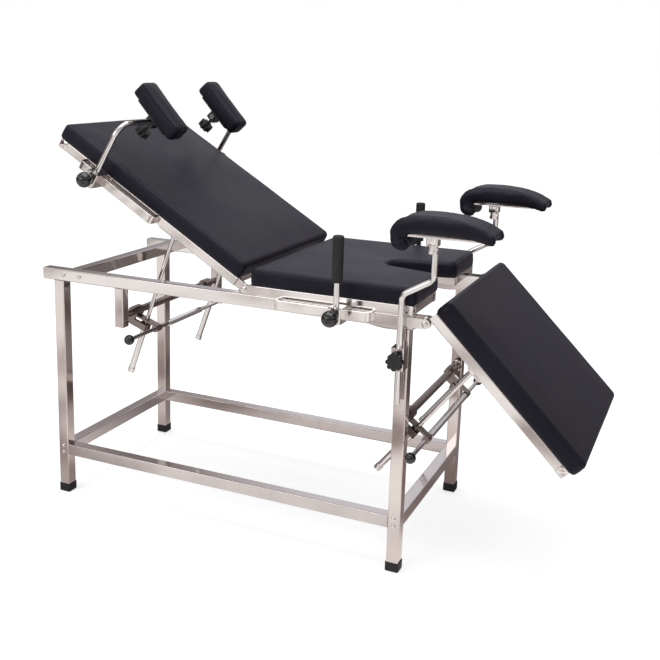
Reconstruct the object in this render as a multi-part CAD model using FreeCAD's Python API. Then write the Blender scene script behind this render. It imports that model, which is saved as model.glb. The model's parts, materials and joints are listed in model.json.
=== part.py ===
import FreeCAD, Part
import math
import os

# Examination bed with a tilting back, a fixed seat and a drop-down leg section.
# Millimetres. +X runs towards the foot end, +Z is up, and the near side is -Y.
# Places along X are first counted from the middle between the legs. Every piece is
# moved by SHIFT_X at the end, so that the origin lies under the middle of the bed.

V = FreeCAD.Vector

# Base frame of square tube
LEG_SPAN_X = 1130.0
BED_WIDTH = 600.0
RAIL_TOP = 722.0
BASE_TUBE = 35.0
BASE_WALL = 1.5
TUBE_EDGE = 3.0
RAIL_HEAD_OVERHANG = 38.0
RAIL_FOOT_OVERHANG = 7.0
STRETCHER_TOP = 161.0
HEAD_CROSS_X = -505.0
CAP_HEIGHT = 26.0
CAP_SIDE = 2.0
CAP_FLOOR = 5.0
PLUG_DEPTH = 12.0
PLUG_FACE = 2.0

# Upper frames of the three sections
SECTION_TUBE = 27.0
SECTION_WALL = 1.5
SECTION_INSET = 2.0
REST_GAP = 0.5

# Cushions
CUSHION_THICK = 47.0
CUSHION_EDGE = 15.0
CUSHION_CORNER = 22.0

# Seat section
SEAT_HEAD_X = 100.0
SEAT_FOOT_X = 571.0
SEAT_CUSHION_OVERHANG = 4.0
CUTOUT_TIP_X = 398.0
CUTOUT_TIP_RADIUS = 42.0
CUTOUT_END_HALF = 88.0
PRONG_INNER_Y = 97.0
SEAT_MID_X = 352.0

# Back section, measured from its hinge along the frame
BACK_HINGE_X = 85.0
BACK_REST_DEG = 31.0
BACK_FRAME_START = 33.0
BACK_FRAME_END = 716.0
BACK_CUSHION_START = 31.0
BACK_CUSHION_END = 728.0
HINGE_LUG_THICK = 6.0
HINGE_NOSE = 13.0
HINGE_BOLT_RADIUS = 5.0

# Leg section, measured from its hinge along the frame
LEG_HINGE_X = 606.0
LEG_HINGE_DROP = 14.0
LEG_REST_DEG = 45.0
LEG_FRAME_START = -3.0
LEG_FRAME_END = 505.0
LEG_CUSHION_START = -8.0
LEG_CUSHION_END = 518.0
LEG_LUG_THICK = 10.0
BRACKET_THICK = 6.0
BRACKET_START_X = 409.0
BRACKET_DEPTH = 16.0
FORK_NOSE = 13.0

# Locking struts: a rod that slides in a tube, held by a tilting plate
STRUT_Y = 204.0
STRUT_OFFSET = 42.0
BACK_LOCK_X = -331.0
BACK_LOCK_Z = 600.0
BACK_STRUT_DEG = 70.4
LEG_LOCK_Z = 427.0
LEG_STRUT_DEG = 52.0
SHAFT_RADIUS = 11.0
ROD_RADIUS = 6.0
STRUT_TUBE_RADIUS = 9.0
STRUT_TUBE_END = -195.0
COLLAR_TOP = -20.0
COLLAR_HEIGHT = 20.0
COLLAR_RADIUS = 13.0
PLATE_TOP = -9.0
PLATE_THICK = 5.0
PLATE_WIDTH = 26.0
PLATE_START = -16.0
PLATE_HOLE_CLEARANCE = 1.6
BAR_OFFSET = 82.0
BAR_RADIUS = 6.0
BAR_HALF_LENGTH = 338.0
RELEASE_BALL_RADIUS = 15.0
LOCK_ARM_THICK = 9.0
HUB_WALL = 6.0
TOP_PIN_RADIUS = 5.0
TOP_PIN_DROP = 24.0
SLOT_LUG_THICK = 6.0
SLOT_RIM = 7.0
BACK_SLOT_LENGTH = 52.0
BACK_SLOT_HEIGHT = 15.2
BACK_SLOT_SHIFT = -17.9
BACK_SLOT_RISE = -1.3
LEG_SLOT_LENGTH = 45.0
LEG_SLOT_HEIGHT = 16.0
LEG_SLOT_SHIFT = 9.3
LEG_SLOT_RISE = 2.2
HANGER_TUBE = 30.0
HANGER_BELOW_SHAFT = 31.0

# Accessory rails on the seat and back
BAR_HEIGHT = 25.0
BAR_THICK = 8.0
BAR_OUTER_Y = 330.0
BAR_BLOCK = 15.0
SEAT_BAR_START_X = 188.0
SEAT_BAR_END_X = 466.0
SEAT_BAR_Z = 711.5
BACK_BAR_START = 327.0
BACK_BAR_END = 612.0

# Clamps that ride on the accessory rails
CLAMP_LENGTH = 36.0
CLAMP_HEIGHT = 42.0
CLAMP_INNER_Y = 312.0
CLAMP_OUTER_Y = 364.0
CLAMP_ROD_Y = 346.0
CLAMP_ROD_RADIUS = 8.0
BALL_RADIUS = 22.0
BALL_CENTRE_OUT = 26.0
STUD_RADIUS = 5.0

# Hand grips
GRIP_X = 379.0
GRIP_BOTTOM_Z = 799.0
GRIP_TOP_Z = 922.0
GRIP_RADIUS = 14.5

# Shoulder rests, in the back section's own directions
SHOULDER_AT = 539.0
SHOULDER_ROD_LOW = -30.0
SHOULDER_RUN_N = 184.0
SHOULDER_BEND = 44.0
SHOULDER_ROD_END_Y = 160.0
SHOULDER_PAD_Y = 183.0
SHOULDER_PAD_DEG = 17.4
SHOULDER_PAD_LENGTH = 184.0
SHOULDER_PAD_WIDTH = 75.0
SHOULDER_PAD_THICK = 52.0
SHOULDER_PAD_BACK = 14.0
PAD_BOARD_THICK = 4.0
PAD_BLOCK = 32.0
STAR_RADIUS = 23.0
STAR_THICK = 18.0

# Leg supports, one on each foot leg
SUPPORT_ROD_Y = 322.0
SUPPORT_ROD_BOTTOM = 491.0
SUPPORT_JOG_Z = 782.0
SUPPORT_JOG_RISE = 46.0
SUPPORT_TOP_X = 628.0
SUPPORT_TOP_Z = 912.0
SUPPORT_BEND = 24.0
SUPPORT_CLAMP_LOW = 585.0
SUPPORT_CLAMP_HIGH = 645.0
SUPPORT_CLAMP_OUTER_Y = 340.0
SUPPORT_CLAMP_HALF = 17.5
SUPPORT_KNOB_Z = 613.0
SUPPORT_PITCH_DEG = 7.0
SUPPORT_PLATE_START = -68.0
SUPPORT_PLATE_END = 128.0
SUPPORT_PLATE_WIDTH = 84.0
SUPPORT_PLATE_THICK = 4.0
SUPPORT_BLOCK = 30.0
SUPPORT_BLOCK_HEIGHT = 24.0
KNEE_PAD_WIDTH = 104.0
KNEE_PAD_HEIGHT = 68.0

# Clearances
RUN_CLEARANCE = 0.05
SLIDE_CLEARANCE = 0.2
FACE_GAP = 0.3

# Derived places
LEG_OUT_X = LEG_SPAN_X / 2
LEG_MID_X = LEG_OUT_X - BASE_TUBE / 2
OUTER_Y = BED_WIDTH / 2
RAIL_UNDER = RAIL_TOP - BASE_TUBE
RAIL_HEAD_X = -LEG_OUT_X - RAIL_HEAD_OVERHANG
RAIL_FOOT_X = LEG_OUT_X + RAIL_FOOT_OVERHANG
SECTION_TOP = RAIL_TOP + SECTION_TUBE
SECTION_OUT_Y = OUTER_Y - SECTION_INSET
HALF_TUBE = SECTION_TUBE / 2
BACK_HINGE_Z = RAIL_TOP + REST_GAP + HALF_TUBE
LEG_HINGE_Z = RAIL_TOP - LEG_HINGE_DROP
LEG_FRAME_N = LEG_HINGE_DROP
LEG_CUSHION_N = LEG_HINGE_DROP + SECTION_TUBE
BAR_INNER_Y = BAR_OUTER_Y - BAR_THICK
LEG_LOCK_X = LEG_MID_X
SLOT_LUG_Y = STRUT_Y + PLATE_WIDTH / 2
LEG_ROUND_X = LEG_CUSHION_END - CUSHION_EDGE
LEG_ROUND_N = LEG_CUSHION_N + CUSHION_THICK - CUSHION_EDGE
LEG_TIP_X = (LEG_HINGE_X + LEG_ROUND_X * math.cos(math.radians(LEG_REST_DEG))
             + LEG_ROUND_N * math.sin(math.radians(LEG_REST_DEG)) + CUSHION_EDGE)
SHIFT_X = -(RAIL_HEAD_X - PLUG_FACE + LEG_TIP_X) / 2


def sides():
    return ((-1, "near"), (1, "far"))


def box(x0, x1, y0, y1, z0, z1):
    low = V(min(x0, x1), min(y0, y1), min(z0, z1))
    return Part.makeBox(abs(x1 - x0), abs(y1 - y0), abs(z1 - z0), low)


def cylinder(radius, start, end):
    start, end = V(*start), V(*end)
    along = end - start
    return Part.makeCylinder(radius, along.Length, start, along)


def along_axis(edge, axis):
    points = [v.Point for v in edge.Vertexes]
    if len(points) != 2:
        return False
    run = points[1] - points[0]
    return run.Length > 0 and abs(abs(run[axis]) - run.Length) < 1e-6


def round_edges(shape, radius, axis):
    edges = [e for e in shape.Edges if along_axis(e, axis)]
    return shape.makeFillet(radius, edges)


def round_all(shape, radius):
    return shape.makeFillet(radius, shape.Edges)


def tube(x0, x1, y0, y1, z0, z1, axis, wall):
    """Square tube with rounded edges, open at both ends, along one axis."""
    outer = round_edges(box(x0, x1, y0, y1, z0, z1), TUBE_EDGE, axis)
    grow = [wall, wall, wall]
    grow[axis] = 0
    inner = box(min(x0, x1) + grow[0], max(x0, x1) - grow[0],
                min(y0, y1) + grow[1], max(y0, y1) - grow[1],
                min(z0, z1) + grow[2], max(z0, z1) - grow[2])
    inner = round_edges(inner, TUBE_EDGE - wall, axis)
    return outer.cut(inner)


def plug(x0, x1, y0, y1, z0, z1, axis, wall, inward):
    """Plastic plug in a tube's end: a face plate and a body that fills the bore."""
    face = round_edges(box(x0, x1, y0, y1, z0, z1), TUBE_EDGE, axis)
    body = [[x0, x1], [y0, y1], [z0, z1]]
    for i in range(3):
        body[i] = sorted(body[i])
        if i != axis:
            body[i] = [body[i][0] + wall, body[i][1] - wall]
    if inward > 0:
        body[axis] = [body[axis][1], body[axis][1] + PLUG_DEPTH]
    else:
        body[axis] = [body[axis][0] - PLUG_DEPTH, body[axis][0]]
    core = box(*body[0], *body[1], *body[2])
    return face.fuse(round_edges(core, TUBE_EDGE - wall, axis)).removeSplitter()


def place(shape, x, z, degrees):
    """Turn a shape about the Y axis through its own origin, then move it to (x, z)."""
    moved = shape.copy()
    moved.rotate(V(0, 0, 0), V(0, 1, 0), degrees)
    moved.translate(V(x, 0, z))
    return moved


def on_back(shape):
    return place(shape, BACK_HINGE_X, BACK_HINGE_Z, BACK_REST_DEG)


def on_leg(shape):
    return place(shape, LEG_HINGE_X, LEG_HINGE_Z, LEG_REST_DEG)


def on_back_strut(shape):
    return place(shape, BACK_LOCK_X, BACK_LOCK_Z, 90 - BACK_STRUT_DEG)


def on_leg_strut(shape):
    return place(shape, LEG_LOCK_X, LEG_LOCK_Z, 90 - LEG_STRUT_DEG)


def export(name, shapes):
    solids = []
    for shape in shapes:
        solids += shape.Solids
    moved = Part.makeCompound(solids) if len(solids) > 1 else solids[0].copy()
    moved.translate(V(SHIFT_X, 0, 0))
    moved.exportStep(os.path.join("parts", name + ".step"))


# Base frame

def shaft_bore(y0, y1, x, z):
    return cylinder(SHAFT_RADIUS + RUN_CLEARANCE, (x, y0, z), (x, y1, z))


def leg(end, side):
    x0 = end * LEG_OUT_X
    x1 = end * (LEG_OUT_X - BASE_TUBE)
    y0 = side * OUTER_Y
    y1 = side * (OUTER_Y - BASE_TUBE)
    body = tube(x0, x1, y0, y1, CAP_FLOOR, RAIL_UNDER, 2, BASE_WALL)
    if end > 0:
        bush = cylinder(SHAFT_RADIUS + HUB_WALL, (LEG_LOCK_X, y1, LEG_LOCK_Z),
                        (LEG_LOCK_X, y1 - side * LOCK_ARM_THICK, LEG_LOCK_Z))
        body = body.fuse(bush)
        body = body.cut(shaft_bore(y1 - side * 2 * LOCK_ARM_THICK, y1 + side * 2 * BASE_WALL,
                                   LEG_LOCK_X, LEG_LOCK_Z))
    return body


def foot_cap(end, side):
    x_mid = end * LEG_MID_X
    y_mid = side * (OUTER_Y - BASE_TUBE / 2)
    half = BASE_TUBE / 2 + CAP_SIDE
    outer = box(x_mid - half, x_mid + half, y_mid - half, y_mid + half, 0, CAP_HEIGHT)
    outer = round_edges(outer, TUBE_EDGE + CAP_SIDE, 2)
    rim = [e for e in outer.Edges if e.BoundBox.ZMax < 0.01]
    outer = outer.makeChamfer(CAP_SIDE, rim)
    half = BASE_TUBE / 2
    seat = box(x_mid - half, x_mid + half, y_mid - half, y_mid + half, CAP_FLOOR, CAP_HEIGHT)
    return outer.cut(round_edges(seat, TUBE_EDGE, 2))


def base_rail(side):
    y0 = side * OUTER_Y
    y1 = side * (OUTER_Y - BASE_TUBE)
    return tube(RAIL_HEAD_X, RAIL_FOOT_X, y0, y1, RAIL_UNDER, RAIL_TOP, 0, BASE_WALL)


def rail_plugs(side):
    y0 = side * OUTER_Y
    y1 = side * (OUTER_Y - BASE_TUBE)
    head = plug(RAIL_HEAD_X - PLUG_FACE, RAIL_HEAD_X, y0, y1, RAIL_UNDER, RAIL_TOP, 0,
                BASE_WALL, 1)
    foot = plug(RAIL_FOOT_X, RAIL_FOOT_X + PLUG_FACE, y0, y1, RAIL_UNDER, RAIL_TOP, 0,
                BASE_WALL, -1)
    return [head, foot]


def head_cross_tube():
    inner = OUTER_Y - BASE_TUBE
    return tube(HEAD_CROSS_X - BASE_TUBE / 2, HEAD_CROSS_X + BASE_TUBE / 2, -inner, inner,
                RAIL_UNDER, RAIL_TOP, 1, BASE_WALL)


def stretchers():
    inner_x = LEG_OUT_X - BASE_TUBE
    inner_y = OUTER_Y - BASE_TUBE
    low = STRETCHER_TOP - BASE_TUBE
    pieces = []
    for side, _ in sides():
        pieces.append(tube(-inner_x, inner_x, side * OUTER_Y, side * inner_y, low,
                           STRETCHER_TOP, 0, BASE_WALL))
        pieces.append(tube(side * inner_x, side * LEG_OUT_X, -inner_y, inner_y, low,
                           STRETCHER_TOP, 1, BASE_WALL))
    return pieces


def hanger(side):
    half = HANGER_TUBE / 2
    y0 = side * OUTER_Y
    y1 = side * (OUTER_Y - HANGER_TUBE)
    low = BACK_LOCK_Z - HANGER_BELOW_SHAFT
    body = tube(BACK_LOCK_X - half, BACK_LOCK_X + half, y0, y1, low, RAIL_UNDER, 2, BASE_WALL)
    floor = box(BACK_LOCK_X - half + BASE_WALL, BACK_LOCK_X + half - BASE_WALL,
                y0 - side * BASE_WALL, y1 + side * BASE_WALL, low, low + BASE_WALL)
    body = body.fuse(round_edges(floor, TUBE_EDGE - BASE_WALL, 2)).removeSplitter()
    return body.cut(shaft_bore(y1 - side, y0 - side * 2 * BASE_WALL, BACK_LOCK_X, BACK_LOCK_Z))


def leg_hinge_fork(side):
    """Inner and outer plates that carry the leg section's hinge bolt."""
    z_low = RAIL_UNDER - BRACKET_DEPTH
    lug = FORK_NOSE
    pieces = []
    inner_y = side * (OUTER_Y - BASE_TUBE)
    spans = [(inner_y - side * BRACKET_THICK, inner_y, BRACKET_START_X),
             (side * OUTER_Y, side * (OUTER_Y + BRACKET_THICK), LEG_OUT_X - BASE_TUBE / 2)]
    for y0, y1, start_x in spans:
        plate = box(start_x, LEG_HINGE_X, y0, y1, LEG_HINGE_Z - lug, LEG_HINGE_Z + lug)
        nose = cylinder(lug, (LEG_HINGE_X, y0, LEG_HINGE_Z), (LEG_HINGE_X, y1, LEG_HINGE_Z))
        plate = plate.fuse(nose)
        if start_x == BRACKET_START_X:
            plate = plate.fuse(bracket_skirt(y0, y1, z_low))
        hole = cylinder(HINGE_BOLT_RADIUS, (LEG_HINGE_X, y0, LEG_HINGE_Z),
                        (LEG_HINGE_X, y1, LEG_HINGE_Z))
        pieces.append(plate.cut(hole).removeSplitter())
    return pieces


def bracket_skirt(y0, y1, z_low):
    """Curved lower edge of the inner bracket plate, a shallow arc under the rail."""
    top = LEG_HINGE_Z
    points = [V(BRACKET_START_X, y0, top), V(BRACKET_START_X, y0, RAIL_UNDER),
              V((BRACKET_START_X + LEG_HINGE_X) / 2, y0, z_low),
              V(LEG_HINGE_X, y0, LEG_HINGE_Z - FORK_NOSE)]
    arc = Part.Arc(points[1], points[2], points[3]).toShape()
    wire = Part.Wire([Part.makeLine(points[0], points[1]), arc,
                      Part.makeLine(points[3], V(LEG_HINGE_X, y0, top)),
                      Part.makeLine(V(LEG_HINGE_X, y0, top), points[0])])
    return Part.Face(wire).extrude(V(0, y1 - y0, 0))


def hex_head(x, z, y, side, radius, height):
    head = Part.makePolygon([V(x + radius * math.cos(math.radians(a)), y,
                               z + radius * math.sin(math.radians(a)))
                             for a in range(0, 361, 60)])
    return Part.Face(head).extrude(V(0, side * height, 0))


def hinge_bolts():
    pieces = []
    for side, _ in sides():
        lug_y = side * (SECTION_OUT_Y - HINGE_LUG_THICK - 2 * FACE_GAP - HINGE_LUG_THICK)
        outer_y = side * OUTER_Y
        x, z = BACK_HINGE_X, BACK_HINGE_Z
        shank = cylinder(HINGE_BOLT_RADIUS, (x, lug_y, z), (x, outer_y, z))
        pieces.append(shank.fuse(hex_head(x, z, outer_y, side, 9, 5)))
        x, z = LEG_HINGE_X, LEG_HINGE_Z
        inner_y = side * (OUTER_Y - BASE_TUBE - BRACKET_THICK)
        outer_y = side * (OUTER_Y + BRACKET_THICK)
        shank = cylinder(HINGE_BOLT_RADIUS, (x, inner_y, z), (x, outer_y, z))
        pieces.append(shank.fuse(hex_head(x, z, outer_y, side, 9, 5)))
    return pieces


def frame_bolts():
    """Bolt heads on the legs beside the stretchers and on the rails over the legs."""
    pieces = []
    for side, _ in sides():
        y = side * OUTER_Y
        for end in (-1, 1):
            for z in (STRETCHER_TOP - 7, STRETCHER_TOP - BASE_TUBE + 7):
                pieces.append(hex_head(end * LEG_MID_X, z, y, side, 6, 4))
        for x in (-LEG_OUT_X + 3, -LEG_MID_X + 22):
            pieces.append(hex_head(x, RAIL_TOP - BASE_TUBE / 2, y, side, 5, 3))
    return pieces


# Seat section

def seat_side_tube(side):
    """Side tube with the flat lug at its head end that carries the back's hinge bolt."""
    y0 = side * OUTER_Y
    y1 = side * (OUTER_Y - SECTION_TUBE)
    body = tube(SEAT_HEAD_X, SEAT_FOOT_X, y0, y1, RAIL_TOP, SECTION_TOP, 0, SECTION_WALL)
    y_lug = side * (OUTER_Y - HINGE_LUG_THICK)
    lug = box(BACK_HINGE_X, SEAT_HEAD_X + 20, y0, y_lug, BACK_HINGE_Z - HINGE_NOSE,
              BACK_HINGE_Z + HINGE_NOSE)
    lug = lug.fuse(cylinder(HINGE_NOSE, (BACK_HINGE_X, y0, BACK_HINGE_Z),
                            (BACK_HINGE_X, y_lug, BACK_HINGE_Z)))
    body = body.fuse(lug)
    hole = cylinder(HINGE_BOLT_RADIUS, (BACK_HINGE_X, y0, BACK_HINGE_Z),
                    (BACK_HINGE_X, y_lug, BACK_HINGE_Z))
    return body.cut(hole)


def seat_inner_tubes():
    inner = OUTER_Y - SECTION_TUBE
    t = SECTION_TUBE
    pieces = []
    for x in (SEAT_HEAD_X + 22, SEAT_MID_X):
        pieces.append(tube(x, x + t, -inner, inner, RAIL_TOP, SECTION_TOP, 1, SECTION_WALL))
    for side, _ in sides():
        y0 = side * PRONG_INNER_Y
        y1 = side * (PRONG_INNER_Y + t)
        pieces.append(tube(SEAT_MID_X + t, SEAT_FOOT_X, y0, y1, RAIL_TOP, SECTION_TOP, 0,
                           SECTION_WALL))
        pieces.append(tube(SEAT_FOOT_X - t, SEAT_FOOT_X, y1, side * inner, RAIL_TOP,
                           SECTION_TOP, 1, SECTION_WALL))
    return pieces


def cutout(z0, z1):
    """U-shaped opening at the foot end: a round tip that widens to the open end."""
    end_x = SEAT_FOOT_X + 50
    centre_x = CUTOUT_TIP_X + CUTOUT_TIP_RADIUS
    run = SEAT_FOOT_X + SEAT_CUSHION_OVERHANG - centre_x
    reach = math.hypot(run, CUTOUT_END_HALF)
    lean = math.atan2(CUTOUT_END_HALF, run) - math.asin(CUTOUT_TIP_RADIUS / reach)
    touch_x = centre_x - CUTOUT_TIP_RADIUS * math.sin(lean)
    touch_y = CUTOUT_TIP_RADIUS * math.cos(lean)
    end_y = touch_y + (end_x - touch_x) * math.tan(lean)
    low = [V(touch_x, -touch_y, z0), V(end_x, -end_y, z0), V(end_x, end_y, z0),
           V(touch_x, touch_y, z0)]
    arc = Part.Arc(low[3], V(CUTOUT_TIP_X, 0, z0), low[0]).toShape()
    wire = Part.Wire([Part.makeLine(low[0], low[1]), Part.makeLine(low[1], low[2]),
                      Part.makeLine(low[2], low[3]), arc])
    return Part.Face(wire).extrude(V(0, 0, z1 - z0))


def cushion(x0, x1, z0):
    """Upholstered slab with rounded corners and rounded upper edges."""
    slab = box(x0, x1, -OUTER_Y, OUTER_Y, z0, z0 + CUSHION_THICK)
    slab = round_edges(slab, CUSHION_CORNER, 2)
    top = [e for e in slab.Edges if e.BoundBox.ZMin > z0 + CUSHION_THICK - 0.01]
    return slab.makeFillet(CUSHION_EDGE, top)


def seat_cushion():
    end_x = SEAT_FOOT_X + SEAT_CUSHION_OVERHANG
    slab = box(SEAT_HEAD_X, end_x, -OUTER_Y, OUTER_Y, SECTION_TOP, SECTION_TOP + CUSHION_THICK)
    slab = round_edges(slab, CUSHION_CORNER, 2)
    slab = slab.cut(cutout(SECTION_TOP - 1, SECTION_TOP + CUSHION_THICK + 1))
    top = [e for e in slab.Edges if e.BoundBox.ZMin > SECTION_TOP + CUSHION_THICK - 0.01]
    return slab.makeFillet(CUSHION_EDGE, top)


def accessory_bar(start, end, z_mid, side, seat_y):
    """Flat bar held off the frame by a block at each end."""
    z0, z1 = z_mid - BAR_HEIGHT / 2, z_mid + BAR_HEIGHT / 2
    bar = box(start, end, side * BAR_INNER_Y, side * BAR_OUTER_Y, z0, z1)
    bar = round_edges(bar, BAR_THICK / 4, 0)
    for x in (start, end - BAR_BLOCK):
        bar = bar.fuse(box(x, x + BAR_BLOCK, side * seat_y, side * BAR_INNER_Y,
                           z0 + BAR_THICK / 4, z1 - BAR_THICK / 4))
    return bar.removeSplitter()


def support_clamp(side):
    """Block on a foot leg that guides a leg support's rod."""
    y0, y1 = side * OUTER_Y, side * SUPPORT_CLAMP_OUTER_Y
    body = box(LEG_MID_X - SUPPORT_CLAMP_HALF, LEG_MID_X + SUPPORT_CLAMP_HALF, y0, y1,
               SUPPORT_CLAMP_LOW, SUPPORT_CLAMP_HIGH)
    body = round_edges(body, TUBE_EDGE, 2)
    rod_y = side * SUPPORT_ROD_Y
    body = body.cut(cylinder(CLAMP_ROD_RADIUS + RUN_CLEARANCE,
                             (LEG_MID_X, rod_y, SUPPORT_CLAMP_LOW - 1),
                             (LEG_MID_X, rod_y, SUPPORT_CLAMP_HIGH + 1)))
    return body.cut(cylinder(STUD_RADIUS + RUN_CLEARANCE, (LEG_MID_X, rod_y, SUPPORT_KNOB_Z),
                             (LEG_MID_X, y1 + side, SUPPORT_KNOB_Z)))


# Back section, in its own directions: x runs towards the hinge from the head end
# (so it is negative), z is square to the frame, and the hinge is at the origin.

def back_side_tube(side):
    y0 = side * SECTION_OUT_Y
    y1 = side * (SECTION_OUT_Y - SECTION_TUBE)
    body = tube(-BACK_FRAME_END + SECTION_TUBE, -BACK_FRAME_START, y0, y1, -HALF_TUBE,
                HALF_TUBE, 0, SECTION_WALL)
    lug_out = side * (OUTER_Y - HINGE_LUG_THICK - FACE_GAP)
    lug_in = lug_out - side * HINGE_LUG_THICK
    nose = HINGE_NOSE
    lug = box(-BACK_FRAME_START - 20, 0, lug_out, lug_in, -nose, nose)
    lug = lug.fuse(cylinder(nose, (0, lug_out, 0), (0, lug_in, 0)))
    body = body.fuse(lug)
    bore = cylinder(HINGE_BOLT_RADIUS + RUN_CLEARANCE, (0, lug_out, 0), (0, lug_in, 0))
    return body.cut(bore)


def back_lug_s():
    """Where the struts meet the back, measured from the hinge along the frame."""
    lean = math.radians(BACK_STRUT_DEG)
    tilt = math.radians(BACK_REST_DEG)
    start_x = BACK_LOCK_X + STRUT_OFFSET * math.sin(lean) - BACK_HINGE_X
    start_z = BACK_LOCK_Z - STRUT_OFFSET * math.cos(lean) - BACK_HINGE_Z
    depth = -HALF_TUBE - TOP_PIN_DROP
    now = start_x * math.sin(tilt) + start_z * math.cos(tilt)
    rate = math.cos(lean) * math.sin(tilt) + math.sin(lean) * math.cos(tilt)
    reach = (depth - now) / rate
    x = start_x + reach * math.cos(lean)
    z = start_z + reach * math.sin(lean)
    return -x * math.cos(tilt) + z * math.sin(tilt), reach


def leg_lug_s():
    """Where the struts meet the leg section, measured from its hinge along the frame."""
    lean = math.radians(LEG_STRUT_DEG)
    tilt = math.radians(LEG_REST_DEG)
    start_x = LEG_LOCK_X + STRUT_OFFSET * math.sin(lean) - LEG_HINGE_X
    start_z = LEG_LOCK_Z - STRUT_OFFSET * math.cos(lean) - LEG_HINGE_Z
    depth = LEG_FRAME_N - TOP_PIN_DROP
    now = start_x * math.sin(tilt) + start_z * math.cos(tilt)
    rate = math.cos(lean) * math.sin(tilt) + math.sin(lean) * math.cos(tilt)
    reach = (depth - now) / rate
    x = start_x + reach * math.cos(lean)
    z = start_z + reach * math.sin(lean)
    return x * math.cos(tilt) - z * math.sin(tilt), reach


def back_cross_tubes():
    inner = SECTION_OUT_Y - SECTION_TUBE
    t = SECTION_TUBE
    lug_x = -back_lug_s()[0]
    pieces = [tube(-BACK_FRAME_END, -BACK_FRAME_END + t, -SECTION_OUT_Y, SECTION_OUT_Y,
                   -HALF_TUBE, HALF_TUBE, 1, SECTION_WALL)]
    for x in (-BACK_FRAME_START - t, lug_x - HALF_TUBE):
        pieces.append(tube(x, x + t, -inner, inner, -HALF_TUBE, HALF_TUBE, 1, SECTION_WALL))
    for side, _ in sides():
        pieces.append(slot_lug(lug_x, -HALF_TUBE, side, BACK_SLOT_LENGTH, BACK_SLOT_HEIGHT,
                               BACK_SLOT_SHIFT, BACK_SLOT_RISE))
    return pieces


def stadium(x_mid, z_mid, y0, y1, length, height):
    """Plate with half-round ends, square to Y."""
    radius = height / 2
    reach = length / 2 - radius
    body = box(x_mid - reach, x_mid + reach, y0, y1, z_mid - radius, z_mid + radius)
    for x in (x_mid - reach, x_mid + reach):
        body = body.fuse(cylinder(radius, (x, y0, z_mid), (x, y1, z_mid)))
    return body.removeSplitter()


def slot_lug(x_mid, z_top, side, length, height, shift, rise):
    """Lug with an oblong slot in which the struts' cross pin travels."""
    y0 = side * SLOT_LUG_Y
    y1 = side * (SLOT_LUG_Y + SLOT_LUG_THICK)
    z_mid = z_top - TOP_PIN_DROP + rise
    plate = stadium(x_mid + shift, z_mid, y0, y1, length + 2 * SLOT_RIM, height + 2 * SLOT_RIM)
    neck = box(x_mid - HALF_TUBE, x_mid + HALF_TUBE, y0, y1, z_mid, z_top)
    window = stadium(x_mid + shift, z_mid, y0, y1, length, height)
    return plate.fuse(neck).cut(window).removeSplitter()


# Leg section, in its own directions: x runs towards the foot end from the hinge.

def leg_side_tube(side):
    y0 = side * SECTION_OUT_Y
    y1 = side * (SECTION_OUT_Y - SECTION_TUBE)
    body = tube(LEG_FRAME_START, LEG_FRAME_END - SECTION_TUBE, y0, y1, LEG_FRAME_N,
                LEG_CUSHION_N, 0, SECTION_WALL)
    y_out = side * (SECTION_OUT_Y - 1)
    y_in = y_out - side * LEG_LUG_THICK
    nose = LEG_HINGE_DROP - 0.5
    lug = box(-nose, nose, y_out, y_in, 0, LEG_FRAME_N + SECTION_WALL)
    lug = lug.fuse(cylinder(nose, (0, y_out, 0), (0, y_in, 0)))
    trim = box(-3 * nose, LEG_FRAME_START, y_out + side, y_in - side, nose, LEG_CUSHION_N)
    body = body.fuse(lug.cut(trim))
    bore = cylinder(HINGE_BOLT_RADIUS + RUN_CLEARANCE, (0, y_out, 0), (0, y_in, 0))
    return body.cut(bore)


def leg_cross_tubes():
    inner = SECTION_OUT_Y - SECTION_TUBE
    t = SECTION_TUBE
    lug_x = leg_lug_s()[0]
    pieces = [tube(LEG_FRAME_END - t, LEG_FRAME_END, -SECTION_OUT_Y, SECTION_OUT_Y,
                   LEG_FRAME_N, LEG_CUSHION_N, 1, SECTION_WALL)]
    for x in (LEG_FRAME_START, lug_x - t / 2):
        pieces.append(tube(x, x + t, -inner, inner, LEG_FRAME_N, LEG_CUSHION_N, 1,
                           SECTION_WALL))
    for side, _ in sides():
        pieces.append(slot_lug(lug_x, LEG_FRAME_N, side, LEG_SLOT_LENGTH, LEG_SLOT_HEIGHT,
                               LEG_SLOT_SHIFT, LEG_SLOT_RISE))
    return pieces


# Strut, in its own directions: z runs up the rod and the shaft is at the origin.

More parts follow.
